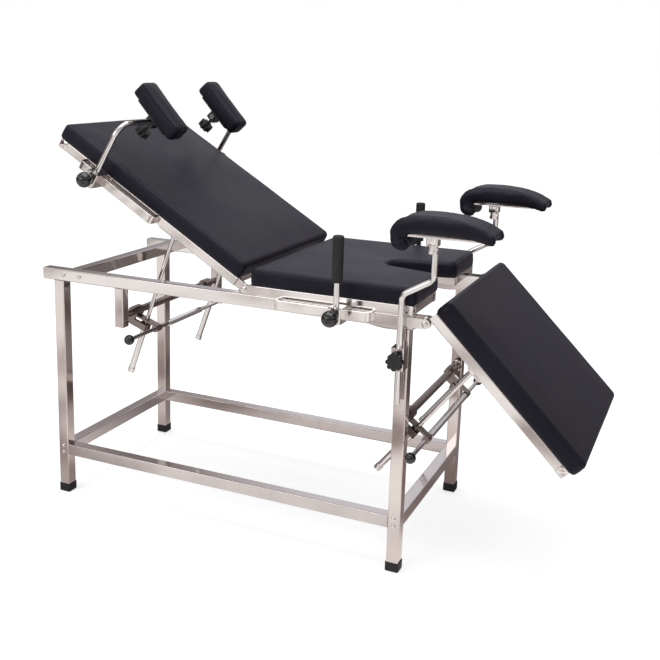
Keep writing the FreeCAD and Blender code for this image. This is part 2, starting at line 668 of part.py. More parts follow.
def lock_pieces(shaft_half):
    pieces = [cylinder(SHAFT_RADIUS, (0, -shaft_half, 0), (0, shaft_half, 0))]
    for side, _ in sides():
        y_mid = side * STRUT_Y
        outer_y = side * (STRUT_Y + PLATE_WIDTH / 2 + FACE_GAP)
        arm_y = outer_y + side * LOCK_ARM_THICK
        hub = cylinder(SHAFT_RADIUS + HUB_WALL, (0, outer_y, 0), (0, arm_y, 0))
        low = COLLAR_TOP - COLLAR_HEIGHT
        arm = box(-SHAFT_RADIUS, STRUT_OFFSET + COLLAR_RADIUS, outer_y, arm_y, low, COLLAR_TOP)
        neck = box(-SHAFT_RADIUS, SHAFT_RADIUS, outer_y, arm_y, COLLAR_TOP, 0)
        head = box(STRUT_OFFSET - COLLAR_RADIUS, STRUT_OFFSET + COLLAR_RADIUS,
                   y_mid - side * COLLAR_RADIUS, outer_y, low, COLLAR_TOP)
        head = round_edges(head, 4, 2)
        barrel = cylinder(STRUT_TUBE_RADIUS, (STRUT_OFFSET, y_mid, STRUT_TUBE_END),
                          (STRUT_OFFSET, y_mid, low))
        ring = cylinder(STRUT_TUBE_RADIUS + 1.5, (STRUT_OFFSET, y_mid, STRUT_TUBE_END),
                        (STRUT_OFFSET, y_mid, STRUT_TUBE_END + 16))
        ring = ring.makeFillet(1.4, ring.Edges[0:1])
        body = hub.fuse([arm, neck, head, barrel, ring]).removeSplitter()
        body = body.cut(cylinder(SHAFT_RADIUS, (0, outer_y, 0), (0, arm_y, 0)))
        bore = cylinder(ROD_RADIUS + RUN_CLEARANCE, (STRUT_OFFSET, y_mid, STRUT_TUBE_END - 1),
                        (STRUT_OFFSET, y_mid, COLLAR_TOP + 1))
        pieces.append(body.cut(bore))
    return pieces


def release_pieces(sleeve_start, sleeve_end, sleeve_radius):
    """Cross bar and the two tilting plates through which the rods pass."""
    bar_z = PLATE_TOP - PLATE_THICK - BAR_RADIUS
    bar = cylinder(BAR_RADIUS, (BAR_OFFSET, -BAR_HALF_LENGTH, bar_z),
                   (BAR_OFFSET, BAR_HALF_LENGTH, bar_z))
    sleeve = cylinder(sleeve_radius, (BAR_OFFSET, sleeve_start, bar_z),
                      (BAR_OFFSET, sleeve_end, bar_z))
    sleeve = sleeve.makeFillet(2, [e for e in sleeve.Edges if e.Length > 30
                                   and e.BoundBox.YLength < 0.1])
    pieces = [bar.fuse(sleeve)]
    for side, _ in sides():
        y_mid = side * STRUT_Y
        y0, y1 = y_mid - PLATE_WIDTH / 2, y_mid + PLATE_WIDTH / 2
        plate = box(PLATE_START, BAR_OFFSET, y0, y1, PLATE_TOP - PLATE_THICK, PLATE_TOP)
        hub = cylinder(SHAFT_RADIUS + HUB_WALL, (0, y0, 0), (0, y1, 0))
        eye = cylinder(BAR_RADIUS + PLATE_THICK, (BAR_OFFSET, y0, bar_z), (BAR_OFFSET, y1, bar_z))
        body = plate.fuse([hub, eye])
        body = body.cut(cylinder(SHAFT_RADIUS + RUN_CLEARANCE, (0, y0, 0), (0, y1, 0)))
        body = body.cut(cylinder(BAR_RADIUS, (BAR_OFFSET, y0, bar_z), (BAR_OFFSET, y1, bar_z)))
        hole = cylinder(ROD_RADIUS + PLATE_HOLE_CLEARANCE, (STRUT_OFFSET, y_mid, PLATE_TOP - 20),
                        (STRUT_OFFSET, y_mid, PLATE_TOP + 20))
        pieces.append(body.cut(hole))
    return pieces


def release_knobs():
    bar_z = PLATE_TOP - PLATE_THICK - BAR_RADIUS
    pieces = []
    for side, _ in sides():
        y_end = side * BAR_HALF_LENGTH
        y_ball = y_end + side * RELEASE_BALL_RADIUS * 0.8
        ball = Part.makeSphere(RELEASE_BALL_RADIUS, V(BAR_OFFSET, y_ball, bar_z))
        socket = cylinder(BAR_RADIUS, (BAR_OFFSET, y_end - side * RELEASE_BALL_RADIUS, bar_z),
                          (BAR_OFFSET, y_end, bar_z))
        pieces.append(ball.cut(socket))
    return pieces


def rod_pieces(top, end):
    """Two rods with eyes at the top, joined by a cross pin with end caps."""
    pieces = []
    lug_out = SLOT_LUG_Y + SLOT_LUG_THICK
    pin_half = lug_out + 10
    pin = cylinder(TOP_PIN_RADIUS, (STRUT_OFFSET, -pin_half, top), (STRUT_OFFSET, pin_half, top))
    for side, _ in sides():
        y_mid = side * STRUT_Y
        eye_half = ROD_RADIUS + 2
        eye = cylinder(TOP_PIN_RADIUS + 5, (STRUT_OFFSET, y_mid - eye_half, top),
                       (STRUT_OFFSET, y_mid + eye_half, top))
        rod = cylinder(ROD_RADIUS, (STRUT_OFFSET, y_mid, end), (STRUT_OFFSET, y_mid, top))
        body = rod.fuse(eye)
        pieces.append(body.cut(pin))
        cap_y = side * (lug_out + 1)
        pieces.append(cylinder(TOP_PIN_RADIUS + 4, (STRUT_OFFSET, cap_y, top),
                               (STRUT_OFFSET, cap_y + side * 4, top)).cut(pin))
    return [pin] + pieces


# Accessories

def rail_clamp(x_mid, z_mid, side):
    """Block that wraps the accessory bar, with a bore for the rod and a knob's stud."""
    x0, x1 = x_mid - CLAMP_LENGTH / 2, x_mid + CLAMP_LENGTH / 2
    z0, z1 = z_mid - CLAMP_HEIGHT / 2, z_mid + CLAMP_HEIGHT / 2
    body = box(x0, x1, side * CLAMP_INNER_Y, side * CLAMP_OUTER_Y, z0, z1)
    body = round_edges(body, 5, 2)
    body = body.cut(box(x0 - 1, x1 + 1, side * (BAR_INNER_Y - SLIDE_CLEARANCE),
                        side * (BAR_OUTER_Y + SLIDE_CLEARANCE),
                        z_mid - BAR_HEIGHT / 2 - SLIDE_CLEARANCE,
                        z_mid + BAR_HEIGHT / 2 + SLIDE_CLEARANCE))
    rod_y = side * CLAMP_ROD_Y
    body = body.cut(cylinder(CLAMP_ROD_RADIUS + RUN_CLEARANCE, (x_mid, rod_y, z0 - 1),
                             (x_mid, rod_y, z1 + 1)))
    return body.cut(cylinder(STUD_RADIUS + RUN_CLEARANCE, (x_mid, rod_y, z_mid),
                             (x_mid, side * (CLAMP_OUTER_Y + 1), z_mid)))


def turned(points, x, y, z, side):
    """Solid of revolution about a line along Y; points are (radius, distance out)."""
    corners = [V(r, d, 0) for r, d in points]
    face = Part.Face(Part.makePolygon(corners + corners[:1]))
    solid = face.revolve(V(0, 0, 0), V(0, 1, 0), 360)
    if side < 0:
        solid = solid.mirror(V(0, 0, 0), V(0, 1, 0))
    solid.translate(V(x, y, z))
    return solid


def ball_knob(x, z, side):
    """Ball with a conical neck, a collar and the stud that presses on the rod."""
    start = side * CLAMP_OUTER_Y
    reach = CLAMP_ROD_Y + CLAMP_ROD_RADIUS + FACE_GAP - CLAMP_OUTER_Y
    neck = turned([(0, reach), (STUD_RADIUS, reach), (STUD_RADIUS, FACE_GAP), (12, FACE_GAP),
                   (12, 4), (8, 7), (10, BALL_CENTRE_OUT - 8), (0, BALL_CENTRE_OUT - 8)],
                  x, start, z, side)
    ball = Part.makeSphere(BALL_RADIUS, V(x, start + side * BALL_CENTRE_OUT, z))
    return neck.fuse(ball)


def grip_rod(side):
    y = side * CLAMP_ROD_Y
    low = SEAT_BAR_Z - CLAMP_HEIGHT / 2 - 2
    return cylinder(CLAMP_ROD_RADIUS, (GRIP_X, y, low), (GRIP_X, y, GRIP_TOP_Z - GRIP_RADIUS))


def grip_sleeve(side):
    y = side * CLAMP_ROD_Y
    body = cylinder(GRIP_RADIUS, (GRIP_X, y, GRIP_BOTTOM_Z), (GRIP_X, y, GRIP_TOP_Z))
    body = body.makeFillet(4, [e for e in body.Edges if e.BoundBox.ZMin > GRIP_TOP_Z - 0.1])
    body = body.makeFillet(1.5, [e for e in body.Edges if e.BoundBox.ZMax < GRIP_BOTTOM_Z + 0.1])
    return body.cut(cylinder(CLAMP_ROD_RADIUS, (GRIP_X, y, GRIP_BOTTOM_Z - 1),
                             (GRIP_X, y, GRIP_TOP_Z - GRIP_RADIUS)))


def swept_rod(points, bend, radius):
    """Round bar along straight runs that are joined by tangent arcs."""
    edges = []
    start = V(*points[0])
    for i in range(1, len(points) - 1):
        corner = V(*points[i])
        before = (V(*points[i - 1]) - corner).normalize()
        after = (V(*points[i + 1]) - corner).normalize()
        half = before.getAngle(after) / 2
        reach = bend / math.tan(half)
        first = corner + before * reach
        last = corner + after * reach
        centre = corner + (before + after).normalize() * (bend / math.sin(half))
        middle = centre + (corner - centre).normalize() * bend
        edges.append(Part.makeLine(start, first))
        edges.append(Part.Arc(first, middle, last).toShape())
        start = last
    edges.append(Part.makeLine(start, V(*points[-1])))
    path = Part.Wire(edges)
    direction = (V(*points[1]) - V(*points[0])).normalize()
    ring = Part.Wire(Part.makeCircle(radius, V(*points[0]), direction))
    return path.makePipeShell([ring], True, False)


def shoulder_rod(side):
    return swept_rod([(-SHOULDER_AT, side * CLAMP_ROD_Y, SHOULDER_ROD_LOW),
                      (-SHOULDER_AT, side * CLAMP_ROD_Y, SHOULDER_RUN_N),
                      (-SHOULDER_AT, side * SHOULDER_ROD_END_Y, SHOULDER_RUN_N)],
                     SHOULDER_BEND, CLAMP_ROD_RADIUS)


def on_shoulder(shape):
    """Turn a piece to the shoulder pad's lean and put it on its rod."""
    moved = shape.copy()
    moved.rotate(V(0, 0, 0), V(0, 1, 0), SHOULDER_PAD_DEG)
    moved.translate(V(-SHOULDER_AT, 0, SHOULDER_RUN_N))
    return moved


def shoulder_pad(side):
    """Rounded block above its rod; the origin is the rod's axis."""
    half = SHOULDER_PAD_LENGTH / 2
    low = SHOULDER_PAD_BACK + PAD_BOARD_THICK
    y0 = side * SHOULDER_PAD_Y - SHOULDER_PAD_WIDTH / 2
    shift = 4.0
    slab = box(-half - shift, half - shift, y0, y0 + SHOULDER_PAD_WIDTH, low,
               low + SHOULDER_PAD_THICK)
    slab = round_edges(slab, 16, 2)
    top = [e for e in slab.Edges if e.BoundBox.ZMin > low + SHOULDER_PAD_THICK - 0.01]
    slab = slab.makeFillet(14, top)
    under = [e for e in slab.Edges if e.BoundBox.ZMax < low + 0.01]
    return slab.makeFillet(5, under)


def shoulder_bracket(side):
    """Board under the pad and the block that turns on the rod."""
    y_mid = side * SHOULDER_PAD_Y
    low = SHOULDER_PAD_BACK
    board = box(-70, 62, y_mid - 28, y_mid + 28, low, low + PAD_BOARD_THICK)
    board = round_edges(board, 10, 2)
    half = PAD_BLOCK / 2
    block = box(-half, half, y_mid - half, y_mid + half, -half, low)
    body = board.fuse(round_edges(block, 4, 1)).removeSplitter()
    body = body.cut(cylinder(CLAMP_ROD_RADIUS + RUN_CLEARANCE, (0, y_mid - half - 1, 0),
                             (0, y_mid + half + 1, 0)))
    return body.cut(cylinder(STUD_RADIUS + RUN_CLEARANCE, (0, y_mid, -half - 1), (0, y_mid, 0)))


def star_head(thick):
    """Knob head with eight lobes, along +Z from the origin."""
    disc = Part.makeCylinder(STAR_RADIUS - 5, thick)
    for i in range(8):
        turn = math.radians(45 * i)
        disc = disc.fuse(Part.makeCylinder(6, thick, V((STAR_RADIUS - 6) * math.cos(turn),
                                                       (STAR_RADIUS - 6) * math.sin(turn), 0)))
    return disc.removeSplitter()


def shoulder_star(side):
    y_mid = side * SHOULDER_PAD_Y
    reach = PAD_BLOCK / 2 + 22
    head = star_head(STAR_THICK)
    head.translate(V(0, y_mid, -reach - STAR_THICK))
    stud = cylinder(STUD_RADIUS, (0, y_mid, -reach), (0, y_mid, -CLAMP_ROD_RADIUS - FACE_GAP))
    return head.fuse(stud)


def support_rod(side):
    y = side * SUPPORT_ROD_Y
    jog_top = SUPPORT_JOG_Z + SUPPORT_JOG_RISE
    return swept_rod([(LEG_MID_X, y, SUPPORT_ROD_BOTTOM), (LEG_MID_X, y, SUPPORT_JOG_Z),
                      (SUPPORT_TOP_X, y, jog_top), (SUPPORT_TOP_X, y, SUPPORT_TOP_Z)],
                     SUPPORT_BEND, CLAMP_ROD_RADIUS)


def on_support(shape, side):
    """Turn a piece to the knee pad's pitch and put it on top of its rod."""
    moved = shape.copy()
    moved.rotate(V(0, 0, 0), V(0, 1, 0), SUPPORT_PITCH_DEG)
    moved.translate(V(SUPPORT_TOP_X, side * SUPPORT_ROD_Y, SUPPORT_TOP_Z))
    return moved


def support_block(side):
    """Clamp block on the rod's top, square to the rod, with a collar below it."""
    half = SUPPORT_BLOCK / 2
    y = side * SUPPORT_ROD_Y
    x = SUPPORT_TOP_X
    low = SUPPORT_TOP_Z - SUPPORT_BLOCK_HEIGHT + 4
    block = box(x - half, x + half, y - half, y + half, low, SUPPORT_TOP_Z + 20)
    block = round_edges(block, 4, 2)
    collar = cylinder(CLAMP_ROD_RADIUS + 4, (x, y, low - 10), (x, y, low))
    block = block.fuse(collar)
    bore = cylinder(CLAMP_ROD_RADIUS + RUN_CLEARANCE, (x, y, low - 11), (x, y, SUPPORT_TOP_Z
                                                                        + FACE_GAP))
    return block.cut(bore)


def support_plate(side):
    plate = box(SUPPORT_PLATE_START, SUPPORT_PLATE_END, -SUPPORT_PLATE_WIDTH / 2,
                SUPPORT_PLATE_WIDTH / 2, 15, 15 + SUPPORT_PLATE_THICK)
    plate = on_support(round_edges(plate, 12, 2), side)
    block = support_block(side)
    above = box(-200, 200, -200, 200, 15 + SUPPORT_PLATE_THICK / 2, 200)
    return plate.fuse(block.cut(on_support(above, side))).removeSplitter()


def knee_pad(side):
    """Bolster with an arched top whose head end curls down past the plate."""
    low = 15 + SUPPORT_PLATE_THICK
    top = low + KNEE_PAD_HEIGHT
    half = KNEE_PAD_WIDTH / 2
    curl = SUPPORT_PLATE_START - 2
    tip = -112.0
    end = 156.0
    pts = [V(end, 0, low), V(curl, 0, low), V(curl - 4, 0, low - 26), V(-88, 0, low - 30),
           V(tip, 0, low + 16), V(-52, 0, top - 6), V(20, 0, top), V(90, 0, top - 6),
           V(end, 0, low + 26)]
    edges = [Part.makeLine(pts[0], pts[1]), Part.makeLine(pts[1], pts[2]),
             Part.makeLine(pts[2], pts[3])]
    nose = Part.BSplineCurve()
    nose.interpolate(pts[3:])
    edges.append(nose.toShape())
    edges.append(Part.makeLine(pts[8], pts[0]))
    face = Part.Face(Part.Wire(edges))
    body = face.extrude(V(0, KNEE_PAD_WIDTH, 0))
    body.translate(V(0, -half, 0))
    rim = [e for e in body.Edges if e.BoundBox.YLength < 0.01 and e.Length > 250
           and e.BoundBox.ZMax > low + 40]
    body = body.makeFillet(16, rim)
    return on_support(body, side)


def support_star(side):
    y = side * SUPPORT_CLAMP_OUTER_Y
    head = star_head(STAR_THICK)
    head.rotate(V(0, 0, 0), V(1, 0, 0), 90 if side < 0 else -90)
    head.translate(V(LEG_MID_X, y + side * 6, SUPPORT_KNOB_Z))
    stud = cylinder(STUD_RADIUS, (LEG_MID_X, y + side * 6, SUPPORT_KNOB_Z),
                    (LEG_MID_X, side * (SUPPORT_ROD_Y + CLAMP_ROD_RADIUS + FACE_GAP),
                     SUPPORT_KNOB_Z))
    return head.fuse(stud)


# Build every node

def build_base():
    for end, end_name in ((-1, "head"), (1, "foot")):
        for side, name in sides():
            export("leg_%s_%s" % (end_name, name), [leg(end, side)])
    export("foot_caps", [foot_cap(e, s) for e in (-1, 1) for s in (-1, 1)])
    for side, name in sides():
        export("base_rail_" + name, [base_rail(side)] + rail_plugs(side))
    export("head_cross_tube", [head_cross_tube()])
    export("stretchers", stretchers())
    export("lock_hangers", [hanger(s) for s in (-1, 1)])
    export("leg_hinge_forks", leg_hinge_fork(-1) + leg_hinge_fork(1))
    export("frame_bolts", frame_bolts() + hinge_bolts())
    export("seat_side_tubes", [seat_side_tube(s) for s in (-1, 1)])
    export("seat_inner_tubes", seat_inner_tubes())
    export("seat_cushion", [seat_cushion()])
    export("seat_accessory_rails", [accessory_bar(SEAT_BAR_START_X, SEAT_BAR_END_X, SEAT_BAR_Z,
                                                  s, OUTER_Y) for s in (-1, 1)])
    export("support_clamps", [support_clamp(s) for s in (-1, 1)])


def build_back():
    export("back_side_tubes", [on_back(back_side_tube(s)) for s in (-1, 1)])
    export("back_cross_tubes", [on_back(p) for p in back_cross_tubes()])
    export("back_cushion", [on_back(cushion(-BACK_CUSHION_END, -BACK_CUSHION_START,
                                            HALF_TUBE))])
    export("back_accessory_rails", [on_back(accessory_bar(-BACK_BAR_END, -BACK_BAR_START, 0, s,
                                                          SECTION_OUT_Y)) for s in (-1, 1)])
    shaft_half = OUTER_Y - 2 * BASE_WALL
    reach = back_lug_s()[1]
    export("back_lock", [on_back_strut(p) for p in lock_pieces(shaft_half)])
    export("back_release_frame", [on_back_strut(p) for p in release_pieces(-143, 55, 9)])
    export("back_release_knobs", [on_back_strut(p) for p in release_knobs()])
    export("back_rods", [on_back_strut(p) for p in rod_pieces(reach, STRUT_TUBE_END + 2)])


def build_leg_section():
    export("leg_side_tubes", [on_leg(leg_side_tube(s)) for s in (-1, 1)])
    export("leg_cross_tubes", [on_leg(p) for p in leg_cross_tubes()])
    export("leg_cushion", [on_leg(cushion(LEG_CUSHION_START, LEG_CUSHION_END, LEG_CUSHION_N))])
    shaft_half = OUTER_Y - BASE_TUBE + BASE_WALL
    reach = leg_lug_s()[1]
    export("leg_lock", [on_leg_strut(p) for p in lock_pieces(shaft_half)])
    export("leg_release_frame", [on_leg_strut(p) for p in release_pieces(-184, 184, 10)])
    export("leg_release_knobs", [on_leg_strut(p) for p in release_knobs()])
    export("leg_rods", [on_leg_strut(p) for p in rod_pieces(reach, STRUT_TUBE_END + 2)])


def build_accessories():
    for side, name in sides():
        export("shoulder_clamp_" + name, [on_back(rail_clamp(-SHOULDER_AT, 0, side))])
        export("shoulder_rod_" + name, [on_back(shoulder_rod(side))])
        export("shoulder_bracket_" + name, [on_back(on_shoulder(shoulder_bracket(side)))])
        export("shoulder_pad_" + name, [on_back(on_shoulder(shoulder_pad(side)))])
        export("shoulder_knob_" + name, [on_back(ball_knob(-SHOULDER_AT, 0, side))])
        export("shoulder_star_" + name, [on_back(on_shoulder(shoulder_star(side)))])
        export("grip_clamp_" + name, [rail_clamp(GRIP_X, SEAT_BAR_Z, side)])
        export("grip_rod_" + name, [grip_rod(side)])
        export("grip_sleeve_" + name, [grip_sleeve(side)])
        export("grip_knob_" + name, [ball_knob(GRIP_X, SEAT_BAR_Z, side)])
        export("support_rod_" + name, [support_rod(side)])
        export("support_plate_" + name, [support_plate(side)])
        export("support_pad_" + name, [knee_pad(side)])
        export("support_knob_" + name, [support_star(side)])


os.makedirs("parts", exist_ok=True)
build_base()
build_back()
build_leg_section()
build_accessories()
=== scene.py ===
import json
import math
import bmesh
import bpy
from mathutils import Matrix, Vector, noise


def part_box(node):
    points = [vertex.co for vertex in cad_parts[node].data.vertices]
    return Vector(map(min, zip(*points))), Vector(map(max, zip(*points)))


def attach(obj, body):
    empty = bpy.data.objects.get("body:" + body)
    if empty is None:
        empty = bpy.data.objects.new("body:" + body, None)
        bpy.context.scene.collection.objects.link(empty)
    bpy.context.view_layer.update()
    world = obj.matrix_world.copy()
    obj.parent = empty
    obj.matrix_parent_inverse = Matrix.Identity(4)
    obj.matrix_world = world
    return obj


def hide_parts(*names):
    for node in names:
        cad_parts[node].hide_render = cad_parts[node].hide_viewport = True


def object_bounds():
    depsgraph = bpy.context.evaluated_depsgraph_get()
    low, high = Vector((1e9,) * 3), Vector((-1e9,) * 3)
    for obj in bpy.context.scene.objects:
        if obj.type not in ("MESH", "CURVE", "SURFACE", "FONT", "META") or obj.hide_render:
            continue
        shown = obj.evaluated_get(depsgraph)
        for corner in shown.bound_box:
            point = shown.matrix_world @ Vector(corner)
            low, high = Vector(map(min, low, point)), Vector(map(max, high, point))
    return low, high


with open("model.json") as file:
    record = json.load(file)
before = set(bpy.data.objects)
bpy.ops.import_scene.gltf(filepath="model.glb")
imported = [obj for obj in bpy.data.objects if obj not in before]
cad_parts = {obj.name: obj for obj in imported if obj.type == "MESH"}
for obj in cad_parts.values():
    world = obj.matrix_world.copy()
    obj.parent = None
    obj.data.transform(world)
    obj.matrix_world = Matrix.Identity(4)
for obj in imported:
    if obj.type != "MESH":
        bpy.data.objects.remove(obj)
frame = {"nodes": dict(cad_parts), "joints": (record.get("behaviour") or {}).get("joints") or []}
cad_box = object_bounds()
nodes = frame["nodes"]
hinge_at = {j["name"]: Vector(j["pos_m"]) for j in frame["joints"] if "pos_m" in j}


# The photographer's view: a 52 mm lens at standing height, in front of the foot end.
# The picture is cut from a larger one, so the lens is shifted a little.
scene = bpy.context.scene
scene.view_settings.view_transform = "Standard"
camera = bpy.data.objects.new("photo_camera", bpy.data.cameras.new("photo_camera"))
scene.collection.objects.link(camera)
camera.location = (1.0659, -2.5766, 1.3495)
camera.rotation_euler = [math.radians(a) for a in (77.5955, -1.4557, 24.3371)]
camera.data.sensor_width = 36.0
camera.data.lens = 52.22
camera.data.shift_x = 0.0401
camera.data.shift_y = -0.0861
scene.camera = camera


# The studio: a white room with one large soft lamp above the bed and one in front of it.
# Polished metal shows a bright floor in front, and a brownish workshop behind the bed.
def shader_tree(owner):
    owner.use_nodes = True
    tree = owner.node_tree
    tree.nodes.clear()
    return tree


def add_node(tree, kind, **values):
    """Adds a node and sets its own fields, or its sockets where the name is a socket's."""
    node = tree.nodes.new(kind)
    for name, value in values.items():
        if hasattr(node, name):
            setattr(node, name, value)
        else:
            node.inputs[name.replace("_", " ")].default_value = value
    return node


def set_ramp(node, stops):
    """Colour stops of a ramp, as (position, colour)."""
    elements = node.color_ramp.elements
    while len(elements) < len(stops):
        elements.new(1.0)
    for element, (position, colour) in zip(elements, stops):
        element.position = position
        element.color = (*colour, 1.0)


def light_room():
    """White to the camera, an even light, and uneven walls where metal mirrors them."""
    world = bpy.data.worlds.new("white_room")
    scene.world = world
    tree = shader_tree(world)
    out = add_node(tree, "ShaderNodeOutputWorld")
    plain = add_node(tree, "ShaderNodeBackground", Strength=0.50)  # lights matt surfaces
    plain.inputs["Color"].default_value = (0.96, 0.98, 1.0, 1)
    seen = add_node(tree, "ShaderNodeBackground", Strength=1.0)
    seen.inputs["Color"].default_value = (1, 1, 1, 1)
    mirror = add_node(tree, "ShaderNodeBackground", Strength=1.0)
    path = add_node(tree, "ShaderNodeLightPath")
    coords = add_node(tree, "ShaderNodeTexCoord")
    parts = add_node(tree, "ShaderNodeSeparateXYZ")
    heights = add_node(tree, "ShaderNodeValToRGB")  # dim walls low down, a white ceiling
    set_ramp(heights, [(0.0, (0.20, 0.175, 0.17)), (0.14, (0.24, 0.215, 0.215)),
                       (0.30, (0.80, 0.79, 0.84)), (0.75, (1.0, 1.0, 1.0))])
    patches = add_node(tree, "ShaderNodeTexNoise", Scale=2.6, Detail=1.5, Roughness=0.4)
    ramp = add_node(tree, "ShaderNodeValToRGB")
    set_ramp(ramp, [(0.38, (0.22, 0.19, 0.18)), (0.47, (0.62, 0.57, 0.55)),
                    (0.55, (1, 1, 1))])
    both = add_node(tree, "ShaderNodeMix", data_type="RGBA", blend_type="MULTIPLY")
    both.inputs[0].default_value = 1.0
    mix_mirror = add_node(tree, "ShaderNodeMixShader")
    mix_seen = add_node(tree, "ShaderNodeMixShader")
    tree.links.new(coords.outputs["Generated"], patches.inputs["Vector"])
    tree.links.new(coords.outputs["Generated"], parts.inputs[0])
    tree.links.new(parts.outputs["Z"], heights.inputs["Fac"])
    tree.links.new(patches.outputs["Fac"], ramp.inputs["Fac"])
    tree.links.new(heights.outputs["Color"], both.inputs[6])
    tree.links.new(ramp.outputs["Color"], both.inputs[7])
    tree.links.new(both.outputs[2], mirror.inputs["Color"])
    tree.links.new(path.outputs["Is Glossy Ray"], mix_mirror.inputs["Fac"])
    tree.links.new(plain.outputs[0], mix_mirror.inputs[1])
    tree.links.new(mirror.outputs[0], mix_mirror.inputs[2])
    tree.links.new(path.outputs["Is Camera Ray"], mix_seen.inputs["Fac"])
    tree.links.new(mix_mirror.outputs[0], mix_seen.inputs[1])
    tree.links.new(seen.outputs[0], mix_seen.inputs[2])
    tree.links.new(mix_seen.outputs[0], out.inputs["Surface"])


def soft_lamp(name, place, aim, size, watts):
    """A rectangular soft box that faces the point aim."""
    data = bpy.data.lights.new(name, "AREA")
    data.shape = "RECTANGLE"
    data.size, data.size_y = size
    data.energy = watts
    lamp = bpy.data.objects.new(name, data)
    scene.collection.objects.link(lamp)
    lamp.location = place
    lamp.rotation_euler = (Vector(aim) - Vector(place)).to_track_quat("-Z", "Y").to_euler()


def lay_floor():
    """White paper to the camera; to glossy rays it glows as a painted reflection, bright in
    front, dim and patchy behind the bed.
    """
    floor_half, floor_gap = 14.0, 0.0005
    bm = bmesh.new()
    bmesh.ops.create_grid(bm, x_segments=1, y_segments=1, size=floor_half)
    mesh = bpy.data.meshes.new("studio_floor")
    bm.to_mesh(mesh)
    bm.free()
    floor = bpy.data.objects.new("studio_floor", mesh)
    scene.collection.objects.link(floor)
    floor.location = (0, 0, cad_box[0][2] - floor_gap)
    material = bpy.data.materials.new("white_floor")
    tree = shader_tree(material)
    out = add_node(tree, "ShaderNodeOutputMaterial")
    paint = add_node(tree, "ShaderNodeBsdfDiffuse")
    paint.inputs["Color"].default_value = (0.84, 0.84, 0.84, 1)
    lift = add_node(tree, "ShaderNodeEmission", Strength=0.64)
    both = add_node(tree, "ShaderNodeAddShader")
    path = add_node(tree, "ShaderNodeLightPath")
    pick = add_node(tree, "ShaderNodeMixShader")
    coords = add_node(tree, "ShaderNodeTexCoord")
    parts = add_node(tree, "ShaderNodeSeparateXYZ")
    # To glossy rays only, the floor glows: a painted reflection, pale and warm in front, dark
    # brown behind the bed.
    depth = add_node(tree, "ShaderNodeMapRange")
    depth.inputs["From Min"].default_value = -0.8
    depth.inputs["From Max"].default_value = 2.2
    far = add_node(tree, "ShaderNodeValToRGB")
    set_ramp(far, [(0.0, (0.95, 0.915, 0.895)), (0.24, (0.74, 0.68, 0.66)),
                   (0.42, (0.26, 0.225, 0.22)), (1.0, (0.20, 0.175, 0.17))])
    # Noise darkens that glow in patches: painted reflection of an uneven room, not stains on the
    # floor.
    reflection_patches = add_node(tree, "ShaderNodeTexNoise", Scale=1.1, Detail=1.0)
    reflection_patch_ramp = add_node(tree, "ShaderNodeValToRGB")
    set_ramp(reflection_patch_ramp, [(0.40, (0.42, 0.37, 0.36)), (0.50, (1, 1, 1))])
    tones = add_node(tree, "ShaderNodeMix", data_type="RGBA", blend_type="MULTIPLY")
    tones.inputs[0].default_value = 1.0
    mirrored = add_node(tree, "ShaderNodeEmission", Strength=1.12)
    pick_mirror = add_node(tree, "ShaderNodeMixShader")
    tree.links.new(coords.outputs["Object"], parts.inputs[0])
    tree.links.new(parts.outputs["Y"], depth.inputs["Value"])
    tree.links.new(depth.outputs["Result"], far.inputs["Fac"])
    tree.links.new(coords.outputs["Object"], reflection_patches.inputs["Vector"])
    tree.links.new(reflection_patches.outputs["Fac"], reflection_patch_ramp.inputs["Fac"])
    tree.links.new(far.outputs["Color"], tones.inputs[6])
    tree.links.new(reflection_patch_ramp.outputs["Color"], tones.inputs[7])
    tree.links.new(tones.outputs[2], mirrored.inputs["Color"])
    tree.links.new(paint.outputs[0], both.inputs[0])
    tree.links.new(lift.outputs[0], both.inputs[1])
    tree.links.new(path.outputs["Is Camera Ray"], pick.inputs["Fac"])
    tree.links.new(paint.outputs[0], pick.inputs[1])
    tree.links.new(both.outputs[0], pick.inputs[2])
    tree.links.new(path.outputs["Is Glossy Ray"], pick_mirror.inputs["Fac"])
    tree.links.new(pick.outputs[0], pick_mirror.inputs[1])
    tree.links.new(mirrored.outputs[0], pick_mirror.inputs[2])
    tree.links.new(pick_mirror.outputs[0], out.inputs["Surface"])
    mesh.materials.append(material)


light_room()
lay_floor()
bed_middle = (0, 0, 0.6)
soft_lamp("ceiling_light", (0.0, -0.2, 3.4), bed_middle, (3.2, 2.4), 44)
soft_lamp("front_light", (-1.6, -3.6, 2.0), bed_middle, (2.2, 1.8), 22)


# The base frame: square stainless tube, welded and polished, standing on rubber caps.
# The polish leaves faint lines along each tube, and hands leave duller patches.
def coat_node(name, material):
    """Gives a CAD piece one material in all its slots."""
    mesh = nodes[name].data
    mesh.materials.clear()
    mesh.materials.append(material)


